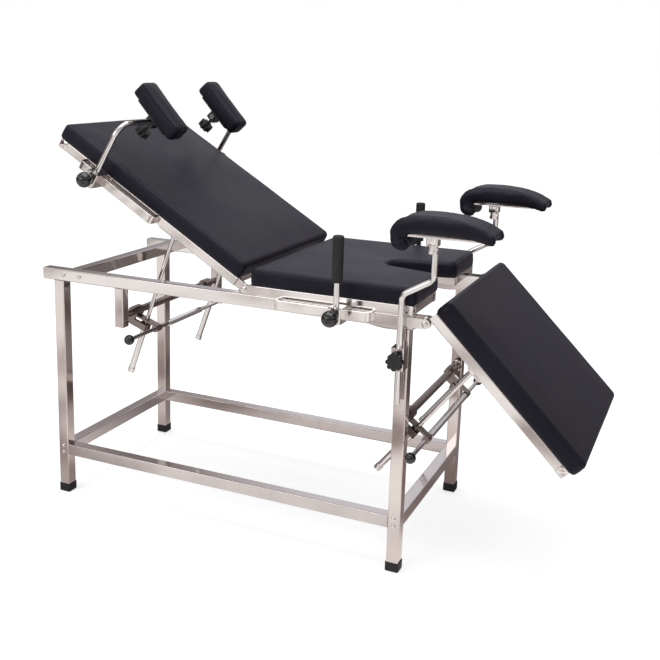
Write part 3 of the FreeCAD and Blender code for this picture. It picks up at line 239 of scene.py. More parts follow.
def polished_steel(name, stretch, turn=0.0, tint=(0.82, 0.79, 0.775), dull=0.09):
    """Stainless steel polished along one axis: stretch is the pattern's scale on X, Y, Z."""
    material = bpy.data.materials.new(name)
    tree = shader_tree(material)
    out = add_node(tree, "ShaderNodeOutputMaterial")
    shader = add_node(tree, "ShaderNodeBsdfPrincipled", Metallic=1.0)
    coords = add_node(tree, "ShaderNodeTexCoord")
    turned = add_node(tree, "ShaderNodeMapping")
    turned.inputs["Rotation"].default_value = (0, math.radians(turn), 0)
    lines_map = add_node(tree, "ShaderNodeMapping")
    lines_map.inputs["Scale"].default_value = stretch
    lines = add_node(tree, "ShaderNodeTexNoise", Scale=1.0, Detail=3.0, Roughness=0.6)
    smears = add_node(tree, "ShaderNodeTexNoise", Scale=9.0, Detail=3.0, Roughness=0.55)
    rough = add_node(tree, "ShaderNodeMapRange")
    rough.inputs["From Min"].default_value = 0.3
    rough.inputs["From Max"].default_value = 0.7
    rough.inputs["To Min"].default_value = dull - 0.04
    rough.inputs["To Max"].default_value = dull + 0.06
    shade = add_node(tree, "ShaderNodeValToRGB")
    handled = [c * 0.88 for c in tint]
    set_ramp(shade, [(0.3, handled), (0.62, tint)])
    bump = add_node(tree, "ShaderNodeBump", Strength=0.10, Distance=0.0002)
    tree.links.new(coords.outputs["Object"], turned.inputs["Vector"])
    tree.links.new(turned.outputs["Vector"], lines_map.inputs["Vector"])
    tree.links.new(lines_map.outputs["Vector"], lines.inputs["Vector"])
    tree.links.new(turned.outputs["Vector"], smears.inputs["Vector"])
    tree.links.new(smears.outputs["Fac"], rough.inputs["Value"])
    tree.links.new(smears.outputs["Fac"], shade.inputs["Fac"])
    tree.links.new(lines.outputs["Fac"], bump.inputs["Height"])
    tree.links.new(shade.outputs["Color"], shader.inputs["Base Color"])
    tree.links.new(rough.outputs["Result"], shader.inputs["Roughness"])
    tree.links.new(bump.outputs["Normal"], shader.inputs["Normal"])
    tree.links.new(shader.outputs[0], out.inputs["Surface"])
    return material


def moulded(name, colour, dull, grain_scale, grain_depth, coat=0.0):
    """Black rubber or plastic, with a fine moulded grain and a little dust."""
    material = bpy.data.materials.new(name)
    tree = shader_tree(material)
    out = add_node(tree, "ShaderNodeOutputMaterial")
    shader = add_node(tree, "ShaderNodeBsdfPrincipled")
    shader.inputs["Coat Weight"].default_value = coat
    shader.inputs["Coat Roughness"].default_value = 0.08
    coords = add_node(tree, "ShaderNodeTexCoord")
    grain = add_node(tree, "ShaderNodeTexNoise", Scale=grain_scale, Detail=2.0)
    dust = add_node(tree, "ShaderNodeTexNoise", Scale=38.0, Detail=4.0)
    shade = add_node(tree, "ShaderNodeValToRGB")
    set_ramp(shade, [(0.35, colour), (0.75, [c * 1.7 + 0.004 for c in colour])])
    rough = add_node(tree, "ShaderNodeMapRange")
    rough.inputs["To Min"].default_value = dull - 0.06
    rough.inputs["To Max"].default_value = dull + 0.10
    bump = add_node(tree, "ShaderNodeBump", Strength=0.5, Distance=grain_depth)
    tree.links.new(coords.outputs["Object"], grain.inputs["Vector"])
    tree.links.new(coords.outputs["Object"], dust.inputs["Vector"])
    tree.links.new(dust.outputs["Fac"], shade.inputs["Fac"])
    tree.links.new(dust.outputs["Fac"], rough.inputs["Value"])
    tree.links.new(grain.outputs["Fac"], bump.inputs["Height"])
    tree.links.new(shade.outputs["Color"], shader.inputs["Base Color"])
    tree.links.new(rough.outputs["Result"], shader.inputs["Roughness"])
    tree.links.new(bump.outputs["Normal"], shader.inputs["Normal"])
    tree.links.new(shader.outputs[0], out.inputs["Surface"])
    return material


steel_long = polished_steel("steel_polished_lengthways", (3, 420, 420))
# The legs and lock hangers get a darker, pinker copy of the rails' steel: painted shade with a
# warm painted reflection.
steel_upright_painted_shade = polished_steel("steel_polished_upright_painted_shade", (420, 420, 3),
                               tint=(0.74, 0.68, 0.66))
# The stretchers get a darker copy of the same steel: painted shade low under the bed.
steel_low_painted_shade = polished_steel("steel_polished_stretchers_painted_shade", (3, 420, 420),
                           tint=(0.66, 0.62, 0.61))
# The cross tubes of base, seat, back and leg section get a darker copy of the same steel:
# painted shade under the cushions.
steel_crossways_painted_shade = polished_steel("steel_polished_crossways_painted_shade", (420, 3, 420),
                                 tint=(0.66, 0.61, 0.60))
rubber = moulded("black_rubber", (0.012, 0.012, 0.013), 0.62, 900, 0.0002)
for name in ("leg_head_near", "leg_head_far", "leg_foot_near", "leg_foot_far", "lock_hangers"):
    coat_node(name, steel_upright_painted_shade)
for name in ("base_rail_near", "base_rail_far", "leg_hinge_forks", "support_clamps"):
    coat_node(name, steel_long)
coat_node("stretchers", steel_low_painted_shade)
coat_node("head_cross_tube", steel_crossways_painted_shade)
coat_node("foot_caps", rubber)


# The bolts: domed heads on thin washers, beside the stretchers and on the rails' head
# ends, and larger ones on the hinges of the back and the leg section.
def domed_bolt(bm, x, z, y, side, radius, height):
    """A washer and a domed head on the face at y, pointing to the near or far side."""
    washer_rim, washer_thick, washer_taper = 0.002, 0.001, 0.0004
    turn = Matrix.Rotation(math.radians(-90 * side), 4, "X")
    washer_at = Matrix.Translation((x, y + side * washer_thick / 2, z))
    bmesh.ops.create_cone(bm, cap_ends=True, segments=28, radius1=radius + washer_rim,
                          radius2=radius + washer_rim - washer_taper, depth=washer_thick,
                          matrix=washer_at @ turn)
    middle = y + side * (washer_thick + height / 2)
    made = bmesh.ops.create_cone(bm, cap_ends=True, segments=28, radius1=radius,
                                 radius2=radius, depth=height,
                                 matrix=Matrix.Translation((x, middle, z)) @ turn)
    outer = [v for v in made["verts"] if (v.co.y - middle) * side > 0]
    edges = dict.fromkeys(e for v in outer for e in v.link_edges if e.other_vert(v) in outer)
    bmesh.ops.bevel(bm, geom=list(edges), offset=height * 0.8, offset_type="OFFSET",
                    segments=4, profile=0.5, affect="EDGES", material=-1)


def new_piece(name, bm, material, body, smooth_below=40.0):
    """Turns a finished bmesh into a piece of one body."""
    mesh = bpy.data.meshes.new(name)
    bmesh.ops.recalc_face_normals(bm, faces=bm.faces)
    bm.to_mesh(mesh)
    bm.free()
    for polygon in mesh.polygons:
        polygon.use_smooth = True
    mesh.set_sharp_from_angle(angle=math.radians(smooth_below))
    piece = bpy.data.objects.new(name, mesh)
    scene.collection.objects.link(piece)
    mesh.materials.append(material)
    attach(piece, body)
    return piece


bright_bolt = polished_steel("bright_bolts", (60, 60, 60), dull=0.13)
bolt_mesh = bmesh.new()
frame_low, frame_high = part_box("stretchers")
frame_middle = round((frame_low[0] + frame_high[0]) / 2, 5)
half_frame, half_tube, fork_thick = frame_high[1], 0.0175, 0.006
rail_bolts_x, rail_bolt_z = (-0.530, -0.472), 0.706
stretcher_bolts_z, back_bolt_z = (0.154, 0.133), 0.7355
for side in (-1, 1):
    for x in rail_bolts_x:
        domed_bolt(bolt_mesh, frame_middle + x, rail_bolt_z, side * half_frame, side,
                   radius=0.0062, height=0.004)
    for x in (frame_low[0] + half_tube, frame_high[0] - half_tube):
        for z in stretcher_bolts_z:
            domed_bolt(bolt_mesh, x, z, side * half_frame, side, radius=0.0060, height=0.004)
    domed_bolt(bolt_mesh, hinge_at["back_tilt"].x, back_bolt_z, side * half_frame, side,
               radius=0.0085, height=0.005)
    domed_bolt(bolt_mesh, hinge_at["leg_tilt"].x, hinge_at["leg_tilt"].z,
               side * (half_frame + fork_thick), side, radius=0.0085, height=0.0045)
bolts = new_piece("domed_bolts", bolt_mesh, bright_bolt, "base")
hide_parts("frame_bolts")


# The upholstery: black leatherette with a faint blue cast, pulled over foam on a board.
# Its print is a fine pebble grain, and handling leaves it a little shinier in places.
def leatherette(name):
    """Coated cloth: a warped pebble grain with fine pores, uneven in sheen and shade."""
    material = bpy.data.materials.new(name)
    tree = shader_tree(material)
    out = add_node(tree, "ShaderNodeOutputMaterial")
    shader = add_node(tree, "ShaderNodeBsdfPrincipled")
    shader.inputs["Specular IOR Level"].default_value = 0.26
    shader.inputs["Specular Tint"].default_value = (0.84, 0.82, 1.0, 1)
    shader.inputs["Sheen Weight"].default_value = 0.10
    shader.inputs["Sheen Roughness"].default_value = 0.35
    shader.inputs["Sheen Tint"].default_value = (0.72, 0.70, 1.0, 1)
    coords = add_node(tree, "ShaderNodeTexCoord")
    pebbles = add_node(tree, "ShaderNodeTexVoronoi", feature="DISTANCE_TO_EDGE", Scale=520.0)
    pores = add_node(tree, "ShaderNodeTexNoise", Scale=1500.0, Detail=2.0)
    pull = add_node(tree, "ShaderNodeTexNoise", Scale=6.0, Detail=3.0, Roughness=0.5)
    warp = add_node(tree, "ShaderNodeVectorMath", operation="ADD")
    warp_by = add_node(tree, "ShaderNodeTexNoise", Scale=180.0, Detail=1.0)
    warp_scale = add_node(tree, "ShaderNodeVectorMath", operation="SCALE")
    warp_scale.inputs["Scale"].default_value = 0.0014
    shade = add_node(tree, "ShaderNodeValToRGB")
    set_ramp(shade, [(0.35, (0.0065, 0.0058, 0.0105)), (0.70, (0.0105, 0.0094, 0.0165))])
    rough = add_node(tree, "ShaderNodeMapRange")
    rough.inputs["From Min"].default_value = 0.3
    rough.inputs["From Max"].default_value = 0.7
    rough.inputs["To Min"].default_value = 0.40
    rough.inputs["To Max"].default_value = 0.50
    grain = add_node(tree, "ShaderNodeBump", Strength=0.35, Distance=0.0003)
    fine = add_node(tree, "ShaderNodeBump", Strength=0.2, Distance=0.0001)
    tree.links.new(coords.outputs["Object"], warp_by.inputs["Vector"])
    tree.links.new(warp_by.outputs["Color"], warp_scale.inputs[0])
    tree.links.new(coords.outputs["Object"], warp.inputs[0])
    tree.links.new(warp_scale.outputs["Vector"], warp.inputs[1])
    tree.links.new(warp.outputs["Vector"], pebbles.inputs["Vector"])
    tree.links.new(coords.outputs["Object"], pores.inputs["Vector"])
    tree.links.new(coords.outputs["Object"], pull.inputs["Vector"])
    tree.links.new(pull.outputs["Fac"], shade.inputs["Fac"])
    tree.links.new(pull.outputs["Fac"], rough.inputs["Value"])
    tree.links.new(pebbles.outputs["Distance"], grain.inputs["Height"])
    tree.links.new(pores.outputs["Fac"], fine.inputs["Height"])
    tree.links.new(grain.outputs["Normal"], fine.inputs["Normal"])
    tree.links.new(shade.outputs["Color"], shader.inputs["Base Color"])
    tree.links.new(rough.outputs["Result"], shader.inputs["Roughness"])
    tree.links.new(fine.outputs["Normal"], shader.inputs["Normal"])
    tree.links.new(shader.outputs[0], out.inputs["Surface"])
    return material


vinyl = leatherette("black_leatherette")
EDGE_ROUND, CROWN = 0.015, 0.005  # of the big cushions' upper edges and tops


def edge_distance(point, outline):
    """How far a point in plan lies from the nearest edge of the outline."""
    nearest = 1.0
    for i, (x0, y0) in enumerate(outline):
        start, end = Vector((x0, y0)), Vector(outline[(i + 1) % len(outline)])
        along = end - start
        t = max(0.0, min(1.0, (point - start).dot(along) / along.length_squared))
        nearest = min(nearest, (point - start - along * t).length)
    return nearest


def upholstered(name, outline, reaches, thickness, place):
    """A covered slab: outline and corner reaches in plan, rounded and crowned on top."""
    grid, tuck, bulge, crown_reach = 0.014, 0.0035, 0.0012, 0.045
    bm = bmesh.new()
    corners = [bm.verts.new((x, y, 0)) for x, y in outline]
    top = bm.faces.new(corners)
    if top.normal.z < 0:
        top.normal_flip()
    for corner, reach in zip(corners, reaches):
        bmesh.ops.bevel(bm, geom=[corner], offset=reach, offset_type="OFFSET", segments=9,
                        profile=0.5, affect="VERTICES", material=-1)
    bm.faces.ensure_lookup_table()
    top = bm.faces[0]
    top.normal_update()
    if top.normal.z < 0:
        top.normal_flip()
    side = thickness - 0.001 - EDGE_ROUND  # the straight part of the side
    rings = [(0.0, side * 0.12), (0.0, side * 0.3), (0.0, side * 0.3), (0.0, side * 0.28)]
    steps = 8
    for i in range(steps):
        a, b = math.radians(90 * i / steps), math.radians(90 * (i + 1) / steps)
        rings.append((EDGE_ROUND * (math.cos(a) - math.cos(b)),
                      EDGE_ROUND * (math.sin(b) - math.sin(a))))
    for inward, up in rings:
        bmesh.ops.inset_region(bm, faces=[top], thickness=inward, depth=up,
                               use_boundary=True, use_even_offset=True)
    bmesh.ops.contextual_create(bm, geom=[e for e in bm.edges if e.is_boundary])
    bmesh.ops.recalc_face_normals(bm, faces=bm.faces)
    low = [min(p[i] for p in outline) for i in (0, 1)]
    high = [max(p[i] for p in outline) for i in (0, 1)]
    for axis, direction in ((0, (1, 0, 0)), (1, (0, 1, 0))):
        count = round((high[axis] - low[axis]) / grid)
        for i in range(1, count):
            cut = [0, 0, 0]
            cut[axis] = low[axis] + (high[axis] - low[axis]) * i / count
            bmesh.ops.bisect_plane(bm, geom=bm.verts[:] + bm.edges[:] + bm.faces[:],
                                   dist=1e-4, plane_co=cut, plane_no=direction)
    bm.normal_update()
    for v in bm.verts:
        flat = Vector((v.normal.x, v.normal.y, 0))
        height = v.co.z / side
        if v.co.z < 1e-6:
            v.co -= flat * tuck
        elif height < 1.01:
            v.co += flat * (bulge * math.sin(math.pi * height) - 0.0004)
            v.co += flat * 0.0006 * noise.noise(v.co * 11.0)
        else:
            inside = edge_distance(v.co.xy, outline) - EDGE_ROUND
            full = 1.0 - math.exp(-max(0.0, inside) / crown_reach)
            v.co.z += CROWN * full * full
            v.co.z += 0.0007 * noise.noise(Vector((v.co.x * 9, v.co.y * 9, 3.1)))
    mesh = bpy.data.meshes.new(name)
    bm.to_mesh(mesh)
    bm.free()
    mesh.transform(place)
    for polygon in mesh.polygons:
        polygon.use_smooth = True
    piece = bpy.data.objects.new(name, mesh)
    scene.collection.objects.link(piece)
    mesh.materials.append(vinyl)
    return piece


def cover_cushion(piece, node, body):
    """Puts a stuffed piece in place of a CAD cushion, which it hides, and moves it with its
    body.
    """
    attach(piece, body)
    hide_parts(node)


# The seat: its frame of smaller square tube, and a cushion with a U-shaped opening at
# the foot end. The cushion's board lies flat on the frame.
coat_node("seat_side_tubes", steel_long)
coat_node("seat_inner_tubes", steel_crossways_painted_shade)
seat_low, seat_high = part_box("seat_cushion")
half_width = seat_high[1]
tip, tip_half, mouth_half = seat_low[0] + 0.298, 0.036, 0.080
seat_outline = [(seat_low[0], -half_width), (seat_high[0], -half_width),
                (seat_high[0], -mouth_half), (tip, -tip_half), (tip, tip_half),
                (seat_high[0], mouth_half), (seat_high[0], half_width),
                (seat_low[0], half_width)]
corner_reach, foot_reach, mouth_reach, tip_reach = 0.0175, 0.020, 0.022, 0.034
near_reaches = [corner_reach, foot_reach, mouth_reach, tip_reach]
seat_cover = upholstered("seat_cushion_cover", seat_outline, near_reaches + near_reaches[::-1],
                         seat_high[2] - seat_low[2], Matrix.Translation((0, 0, seat_low[2])))
cover_cushion(seat_cover, "seat_cushion", "base")


# The seat's accessory bars: flat polished bar, bent round at both ends and welded to the
# frame, one on each side. The hand grips' clamps run on them.
def bent_bar(bm, start, end, frame_y, outer_y, low, high, side):
    """A flat bar in plan, from the frame out, along and back, with rounded bends."""
    thick, outer_bend, inner_bend = 0.008, 0.015, 0.007
    plan = [(start, frame_y), (start, outer_y), (end, outer_y), (end, frame_y),
            (end - thick, frame_y), (end - thick, outer_y - thick),
            (start + thick, outer_y - thick), (start + thick, frame_y)]
    bends = {1: outer_bend, 2: outer_bend, 5: inner_bend, 6: inner_bend}
    verts = [bm.verts.new((x, side * y, low)) for x, y in plan]
    bm.faces.new(verts)
    for i, reach in bends.items():
        bmesh.ops.bevel(bm, geom=[verts[i]], offset=reach, offset_type="OFFSET", segments=6,
                        profile=0.5, affect="VERTICES", material=-1)
    middles = {f: f.calc_center_median() for f in bm.faces}
    made = bmesh.ops.extrude_face_region(bm, geom=[
        f for f, middle in middles.items()
        if abs(middle.z - low) < 1e-6 and middle.y * side > 0])
    risen = [v for v in made["geom"] if isinstance(v, bmesh.types.BMVert)]
    bmesh.ops.translate(bm, verts=risen, vec=(0, 0, high - low))


def soften_edges(piece, width, segments=2):
    """A small machined or deburred edge all round."""
    bevel = piece.modifiers.new("soft_edges", "BEVEL")
    bevel.width = width
    bevel.segments = segments
    bevel.limit_method = "ANGLE"
    bevel.angle_limit = math.radians(40)


BAR_EDGE = 0.0012
bar_mesh = bmesh.new()
bar_low, bar_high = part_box("seat_accessory_rails")
for side in (-1, 1):
    bent_bar(bar_mesh, bar_low[0], bar_high[0], half_frame - 0.0005, bar_high[1],
             bar_low[2], bar_high[2], side)
seat_bars = new_piece("seat_accessory_bars", bar_mesh, steel_long, "base")
soften_edges(seat_bars, BAR_EDGE)
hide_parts("seat_accessory_rails")


# The back: a frame of the same small tube on its two hinge bolts, a long cushion, and a
# flat accessory rail on each side. It leans at 31 degrees in the photograph.
BACK_LEAN = 31.0
back_place = (Matrix.Translation(hinge_at["back_tilt"])
              @ Matrix.Rotation(math.radians(BACK_LEAN), 4, "Y"))
steel_back_long = polished_steel("steel_back_lengthways", (3, 420, 420), turn=-BACK_LEAN)
coat_node("back_side_tubes", steel_back_long)
coat_node("back_cross_tubes", steel_crossways_painted_shade)
bar_mesh = bmesh.new()
bar_head, bar_foot, bar_half_height = -0.612, -0.327, 0.0125
for side in (-1, 1):
    bent_bar(bar_mesh, bar_head, bar_foot, 0.2975, bar_high[1], -bar_half_height,
             bar_half_height, side)
bmesh.ops.transform(bar_mesh, matrix=back_place, verts=bar_mesh.verts)
back_bars = new_piece("back_accessory_bars", bar_mesh, steel_back_long, "back_section")
soften_edges(back_bars, BAR_EDGE)
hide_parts("back_accessory_rails")
back_start, back_end, back_under, cushion_thick = -0.031, -0.728, 0.0135, 0.047
back_outline = [(back_end, -half_width), (back_start, -half_width),
                (back_start, half_width), (back_end, half_width)]
back_cover = upholstered("back_cushion_cover", back_outline, [corner_reach] * 4, cushion_thick,
                         back_place @ Matrix.Translation((0, 0, back_under)))
cover_cushion(back_cover, "back_cushion", "back_section")


# The leg section: hinged on two short forks at the foot end, with its own cushion. It
# hangs at 45 degrees in the photograph.
LEG_LEAN = 45.0
leg_place = (Matrix.Translation(hinge_at["leg_tilt"])
             @ Matrix.Rotation(math.radians(LEG_LEAN), 4, "Y"))
steel_leg_long = polished_steel("steel_leg_lengthways", (3, 420, 420), turn=-LEG_LEAN)
coat_node("leg_side_tubes", steel_leg_long)
coat_node("leg_cross_tubes", steel_crossways_painted_shade)
leg_start, leg_end, leg_under = -0.008, 0.518, 0.041
leg_outline = [(leg_start, -half_width), (leg_end, -half_width),
               (leg_end, half_width), (leg_start, half_width)]
leg_cover = upholstered("leg_cushion_cover", leg_outline, [corner_reach] * 4, cushion_thick,
                        leg_place @ Matrix.Translation((0, 0, leg_under)))
cover_cushion(leg_cover, "leg_cushion", "leg_section")


# Welded plates of the tubes' own sheet close the open ends of the section frames. They
# sit in the tubes' mouths, nearly flush, and are ground smooth.
def end_plate(bm, low, high):
    """A thin plate in a tube's mouth, as a box from low to high in the frame's own axes."""
    made = bmesh.ops.create_cube(bm, size=1.0)
    size = [b - a for a, b in zip(low, high)]
    middle = [(a + b) / 2 for a, b in zip(low, high)]
    bmesh.ops.scale(bm, verts=made["verts"], vec=size)
    bmesh.ops.translate(bm, verts=made["verts"], vec=middle)
    edges = list(dict.fromkeys(e for v in made["verts"] for e in v.link_edges))
    bmesh.ops.bevel(bm, geom=edges, offset=0.0004, offset_type="OFFSET", segments=2,
                    profile=0.5, affect="EDGES", material=-1)


TUBE, TUBE_WALL, PLATE_THICK = 0.027, 0.0016, 0.0016
plate_y, plate_inset = 0.2962, 0.0002
seat_tubes_y = (0.1105, 0.2865)
no_turn = Matrix.Identity(4)
tube_low, tube_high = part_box("seat_side_tubes")
for name, body, place, start, under, steel in (
        ("back_end_plates", "back_section", back_place, -0.716, -0.0135, steel_back_long),
        ("leg_end_plates", "leg_section", leg_place, 0.478, 0.014, steel_leg_long),
        ("seat_end_plates", "base", no_turn, None, tube_low[2], steel_long)):
    plate_mesh = bmesh.new()
    bottom, top = under + TUBE_WALL, under + TUBE - TUBE_WALL
    if start is None:  # the seat's tubes run along the bed, and end at its foot side
        for y in sorted(side * y for side in (-1, 1) for y in seat_tubes_y):
            half_mouth = TUBE / 2 - TUBE_WALL
            end_plate(plate_mesh,
                      (tube_high[0] - plate_inset - PLATE_THICK, y - half_mouth, bottom),
                      (tube_high[0] - plate_inset, y + half_mouth, top))
    else:  # a cross tube's two ends, at the section's outer edge
        for side in (-1, 1):
            y0, y1 = sorted((side * plate_y, side * (plate_y + PLATE_THICK)))
            end_plate(plate_mesh, (start + TUBE_WALL, y0, bottom),
                      (start + TUBE - TUBE_WALL, y1, top))
    bmesh.ops.transform(plate_mesh, matrix=place, verts=plate_mesh.verts)
    new_piece(name, plate_mesh, steel, body)


# The strut locks under the back and the leg section: chromed rods that slide in tubes,
# gripped by tilting plates, which a cross bar with ball knobs lets go.
chrome = polished_steel("bright_chrome", (30, 30, 30), tint=(0.83, 0.82, 0.815), dull=0.08)
dark_steel = polished_steel("oiled_dark_steel", (60, 60, 60), tint=(0.30, 0.25, 0.23),
                            dull=0.22)
ball_black = moulded("glossy_black_ball", (0.004, 0.004, 0.005), 0.14, 300, 0.00004, coat=0.6)
strut_y, plate_half, tube_top = 0.204, 0.0135, -0.0405


def strut_place(hinge, lean):
    """The lock's own axes: Z runs up along the rods and X out from the shaft."""
    turn = Matrix.Rotation(math.radians(90 - lean), 4, "Y")
    return Matrix.Translation(hinge_at[hinge]) @ turn


for which, lean in (("back", 70.4), ("leg", 52.0)):
    coat_node(which + "_lock", dark_steel)
    coat_node(which + "_rods", chrome)
    coat_node(which + "_release_frame", chrome)
    coat_node(which + "_release_knobs", ball_black)
    lock = nodes[which + "_lock"].data
    lock.materials.append(chrome)
    into_lock = strut_place(which + "_lock_swing", lean).inverted()
    for polygon in lock.polygons:
        if (into_lock @ polygon.center).z < tube_top:
            polygon.material_index = 1
    release = nodes[which + "_release_frame"].data
    release.materials.append(dark_steel)
    for polygon in release.polygons:
        if abs(abs(polygon.center.y) - strut_y) < plate_half:
            polygon.material_index = 1


# The stuffed pads of the shoulder rests and leg supports: the cover is sewn tight over
# foam, so each is blown up a little as cloth and kept close to its solid.
PAD_VOXEL, PRESSURE, CLOTH_FRAMES = 0.0045, 3.0, 20


def finished_copy(piece):
    """The piece's mesh with its modifiers applied."""
    bpy.context.view_layer.update()
    depsgraph = bpy.context.evaluated_depsgraph_get()
    return bpy.data.meshes.new_from_object(piece.evaluated_get(depsgraph))


def stuffed(name, bm, swell, held):
    """A pad from its plain form: remeshed, shrunk, blown up as cloth and capped at swell."""
    mesh = bpy.data.meshes.new(name)
    bm.to_mesh(mesh)
    bm.free()
    piece = bpy.data.objects.new(name, mesh)
    scene.collection.objects.link(piece)
    remesh = piece.modifiers.new("even_faces", "REMESH")
    remesh.mode = "VOXEL"
    remesh.voxel_size = PAD_VOXEL
    even = finished_copy(piece)
    piece.modifiers.clear()
    piece.data = even
    bm = bmesh.new()
    bm.from_mesh(even)
    for i in range(3):
        bmesh.ops.smooth_vert(bm, verts=bm.verts, factor=0.5, use_axis_x=True,
                              use_axis_y=True, use_axis_z=True)
    bm.normal_update()
    grip = piece.vertex_groups.new(name="held")
    fixed = [v.index for v in bm.verts if held(v)]
    for v in bm.verts:
        v.co -= v.normal * (swell * 0.4)
    bm.to_mesh(even)
    bm.free()
    grip.add(fixed, 1.0, "REPLACE")
    cloth = piece.modifiers.new("blow_up", "CLOTH")
    cloth.settings.quality = 6
    cloth.settings.use_pressure = True
    cloth.settings.uniform_pressure_force = PRESSURE
    cloth.settings.tension_stiffness = 12
    cloth.settings.compression_stiffness = 12
    cloth.settings.bending_stiffness = 2.5
    cloth.settings.vertex_group_mass = "held"
    cloth.settings.effector_weights.gravity = 0.0
    cloth.point_cache.frame_start = 1
    cloth.point_cache.frame_end = CLOTH_FRAMES
    for step in range(1, CLOTH_FRAMES + 1):
        scene.frame_set(step)
    blown = finished_copy(piece)
    piece.modifiers.clear()
    for before, after in zip(even.vertices, blown.vertices):
        move = after.co - before.co
        if move.length > swell:
            move *= swell / move.length
        before.co = before.co + move
    scene.frame_set(1)
    even.materials.clear()
    even.materials.append(vinyl)
    for polygon in even.polygons:
        polygon.use_smooth = True
    soften = piece.modifiers.new("soften", "SUBSURF")
    soften.levels = soften.render_levels = 1
    return piece


# The shoulder rests: a bent chromed rod in a clamp on the back's rail carries a painted
# board with a stuffed block. A ball knob holds the clamp, and a star knob the tilt.
def pad_from_node(node):
    """A joined copy of a pad's CAD solid, to be stuffed."""
    bm = bmesh.new()
    bm.from_mesh(nodes[node].data)
    bmesh.ops.remove_doubles(bm, verts=bm.verts, dist=1e-5)
    return bm


SHOULDER_PAD_LEAN, SHOULDER_SWELL = 17.4, 0.004
star_black = moulded("matt_black_star", (0.014, 0.014, 0.015), 0.48, 700, 0.00015)
black_paint = moulded("black_painted_board", (0.012, 0.012, 0.013), 0.4, 500, 0.0001)
pad_turn = Matrix.Rotation(math.radians(SHOULDER_PAD_LEAN), 3, "Y")
pad_down = back_place.to_3x3() @ pad_turn @ Vector((0, 0, -1))
for side in ("near", "far"):
    coat_node("shoulder_clamp_" + side, steel_back_long)
    coat_node("shoulder_rod_" + side, chrome)
    coat_node("shoulder_bracket_" + side, black_paint)
    coat_node("shoulder_knob_" + side, ball_black)
    coat_node("shoulder_star_" + side, star_black)
    pad = stuffed("shoulder_pad_cover_" + side, pad_from_node("shoulder_pad_" + side),
                  SHOULDER_SWELL, lambda v: v.normal.dot(pad_down) > 0.9)
    cover_cushion(pad, "shoulder_pad_" + side, "shoulder_pad_%s_body" % side)


# The hand grips: a chromed rod with a rubber sleeve stands in a steel clamp, which a ball
# knob tightens on the seat's accessory bar.
for side in ("near", "far"):
    coat_node("grip_clamp_" + side, steel_long)
    coat_node("grip_rod_" + side, chrome)
    coat_node("grip_sleeve_" + side, rubber)
    coat_node("grip_knob_" + side, ball_black)


# The leg supports: a cranked chromed rod slides in the block on the foot leg, held by a
# star knob. On its top a clamp block turns, with a pressed steel tray, upside down.
# Lengths along the bed are from the frame's middle, and heights from the floor.
KNEE_ROD_X, KNEE_ROD_Y, KNEE_PLATE_TOP = 0.622, 0.322, 0.9545


def rounded_cube(bm, size, middle, width):
    """A block with all its edges rounded."""
    made = bmesh.ops.create_cube(bm, size=1.0)
    bmesh.ops.scale(bm, verts=made["verts"], vec=size)
    bmesh.ops.translate(bm, verts=made["verts"], vec=middle)
    edges = list(dict.fromkeys(e for v in made["verts"] for e in v.link_edges))
    bmesh.ops.bevel(bm, geom=edges, offset=width, offset_type="OFFSET", segments=3,
                    profile=0.5, affect="EDGES", material=-1)


def knee_tray(name, side_y, body):
    """The tray with its turned rim, the block below it, and the block's collar."""
    length, width, depth, sheet, ahead = 0.188, 0.084, 0.014, 0.0025, 0.030
    bm = bmesh.new()
    made = bmesh.ops.create_cube(bm, size=1.0)
    bmesh.ops.scale(bm, verts=made["verts"], vec=(length, width, depth))
    bmesh.ops.translate(bm, verts=made["verts"],
                        vec=(KNEE_ROD_X + ahead, side_y, KNEE_PLATE_TOP - depth / 2))
    upright = [e for e in bm.edges if abs(e.verts[0].co.z - e.verts[1].co.z) > 0.005]
    bmesh.ops.bevel(bm, geom=upright, offset=0.012, offset_type="OFFSET", segments=6,
                    profile=0.5, affect="EDGES", material=-1)
    open_face = [f for f in bm.faces if f.normal.z < -0.9]
    bmesh.ops.delete(bm, geom=open_face, context="FACES")
    rim = [e for e in bm.edges if len(e.link_faces) == 2
           and min(v.co.z for v in e.verts) > KNEE_PLATE_TOP - 0.001]
    bmesh.ops.bevel(bm, geom=rim, offset=0.003, offset_type="OFFSET", segments=3,
                    profile=0.5, affect="EDGES", material=-1)
    bmesh.ops.solidify(bm, geom=bm.faces[:], thickness=sheet)
    rounded_cube(bm, (0.030, 0.030, 0.032), (KNEE_ROD_X, side_y, 0.931), 0.003)
    for radius, low, high in ((0.0115, 0.903, 0.916), (0.0135, 0.896, 0.904)):
        middle = Matrix.Translation((KNEE_ROD_X, side_y, (low + high) / 2))
        bmesh.ops.create_cone(bm, cap_ends=True, segments=32, radius1=radius,
                              radius2=radius, depth=high - low, matrix=middle)
    bmesh.ops.translate(bm, verts=bm.verts, vec=(frame_middle, 0, 0))
    return new_piece(name, bm, steel_long, body)


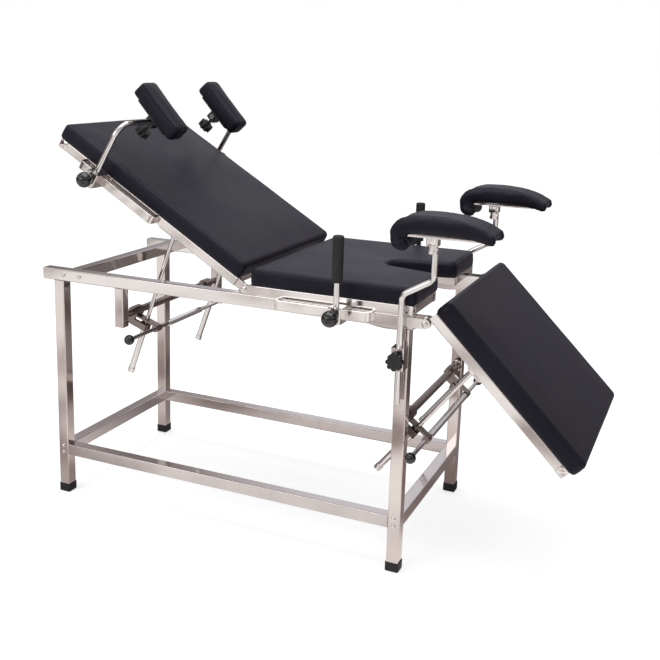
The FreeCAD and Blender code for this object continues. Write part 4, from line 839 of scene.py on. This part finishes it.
# The knee pads on the trays: an arched bolster sewn round a curved board. Its head end
# curls down in front of the tray, and its foot end thins to a rounded tip.
def knee_form(side_y):
    """The bolster before it is stuffed: a bar bent to the under and upper lines."""
    under = [(0.778, 0.938), (0.757, 0.945), (0.713, 0.954), (0.665, 0.955), (0.615, 0.955),
             (0.578, 0.954), (0.560, 0.948), (0.560, 0.936), (0.576, 0.922)]
    upper = [(0.787, 0.948), (0.769, 0.964), (0.727, 0.981), (0.670, 0.991), (0.612, 0.994),
             (0.562, 0.988), (0.532, 0.968), (0.525, 0.937), (0.544, 0.912)]
    last = len(under) - 1
    half, crown = 0.050, 0.008
    bm = bmesh.new()
    bmesh.ops.create_cube(bm, size=1.0)
    along = [e for e in bm.edges if abs(e.verts[0].co.x - e.verts[1].co.x) > 0.5]
    bmesh.ops.subdivide_edges(bm, edges=along, cuts=last - 1, use_grid_fill=True)
    stations = {v: round((v.co.x + 0.5) * last) for v in bm.verts}
    for v, station in stations.items():
        x, z = (upper if v.co.z > 0 else under)[station]
        v.co = (x + frame_middle, side_y + math.copysign(half, v.co.y), z)
    across = [e for e in bm.edges if abs(e.verts[0].co.y - e.verts[1].co.y) > half]
    bmesh.ops.subdivide_edges(bm, edges=across, cuts=5, use_grid_fill=True)
    for v in bm.verts:
        aside = abs(v.co.y - side_y) / half
        if v.normal.z > 0.2:
            v.co.z -= crown * aside ** 2
    bmesh.ops.subdivide_edges(bm, edges=bm.edges[:], cuts=2, smooth=0.9, use_grid_fill=True)
    bmesh.ops.recalc_face_normals(bm, faces=bm.faces)
    return bm


KNEE_SWELL, BOARD_LOW, BOARD_HIGH = 0.005, 0.950, 0.960
for side in ("near", "far"):
    coat_node("support_rod_" + side, chrome)
    coat_node("support_knob_" + side, star_black)
    side_y = -KNEE_ROD_Y if side == "near" else KNEE_ROD_Y
    tray = knee_tray("knee_tray_" + side, side_y, "support_pad_%s_body" % side)
    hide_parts("support_plate_" + side)
    knee = stuffed("support_pad_cover_" + side, knee_form(side_y), KNEE_SWELL,
                   lambda v: v.normal.z < -0.9 and BOARD_LOW < v.co.z < BOARD_HIGH)
    cover_cushion(knee, "support_pad_" + side, "support_pad_%s_body" % side)
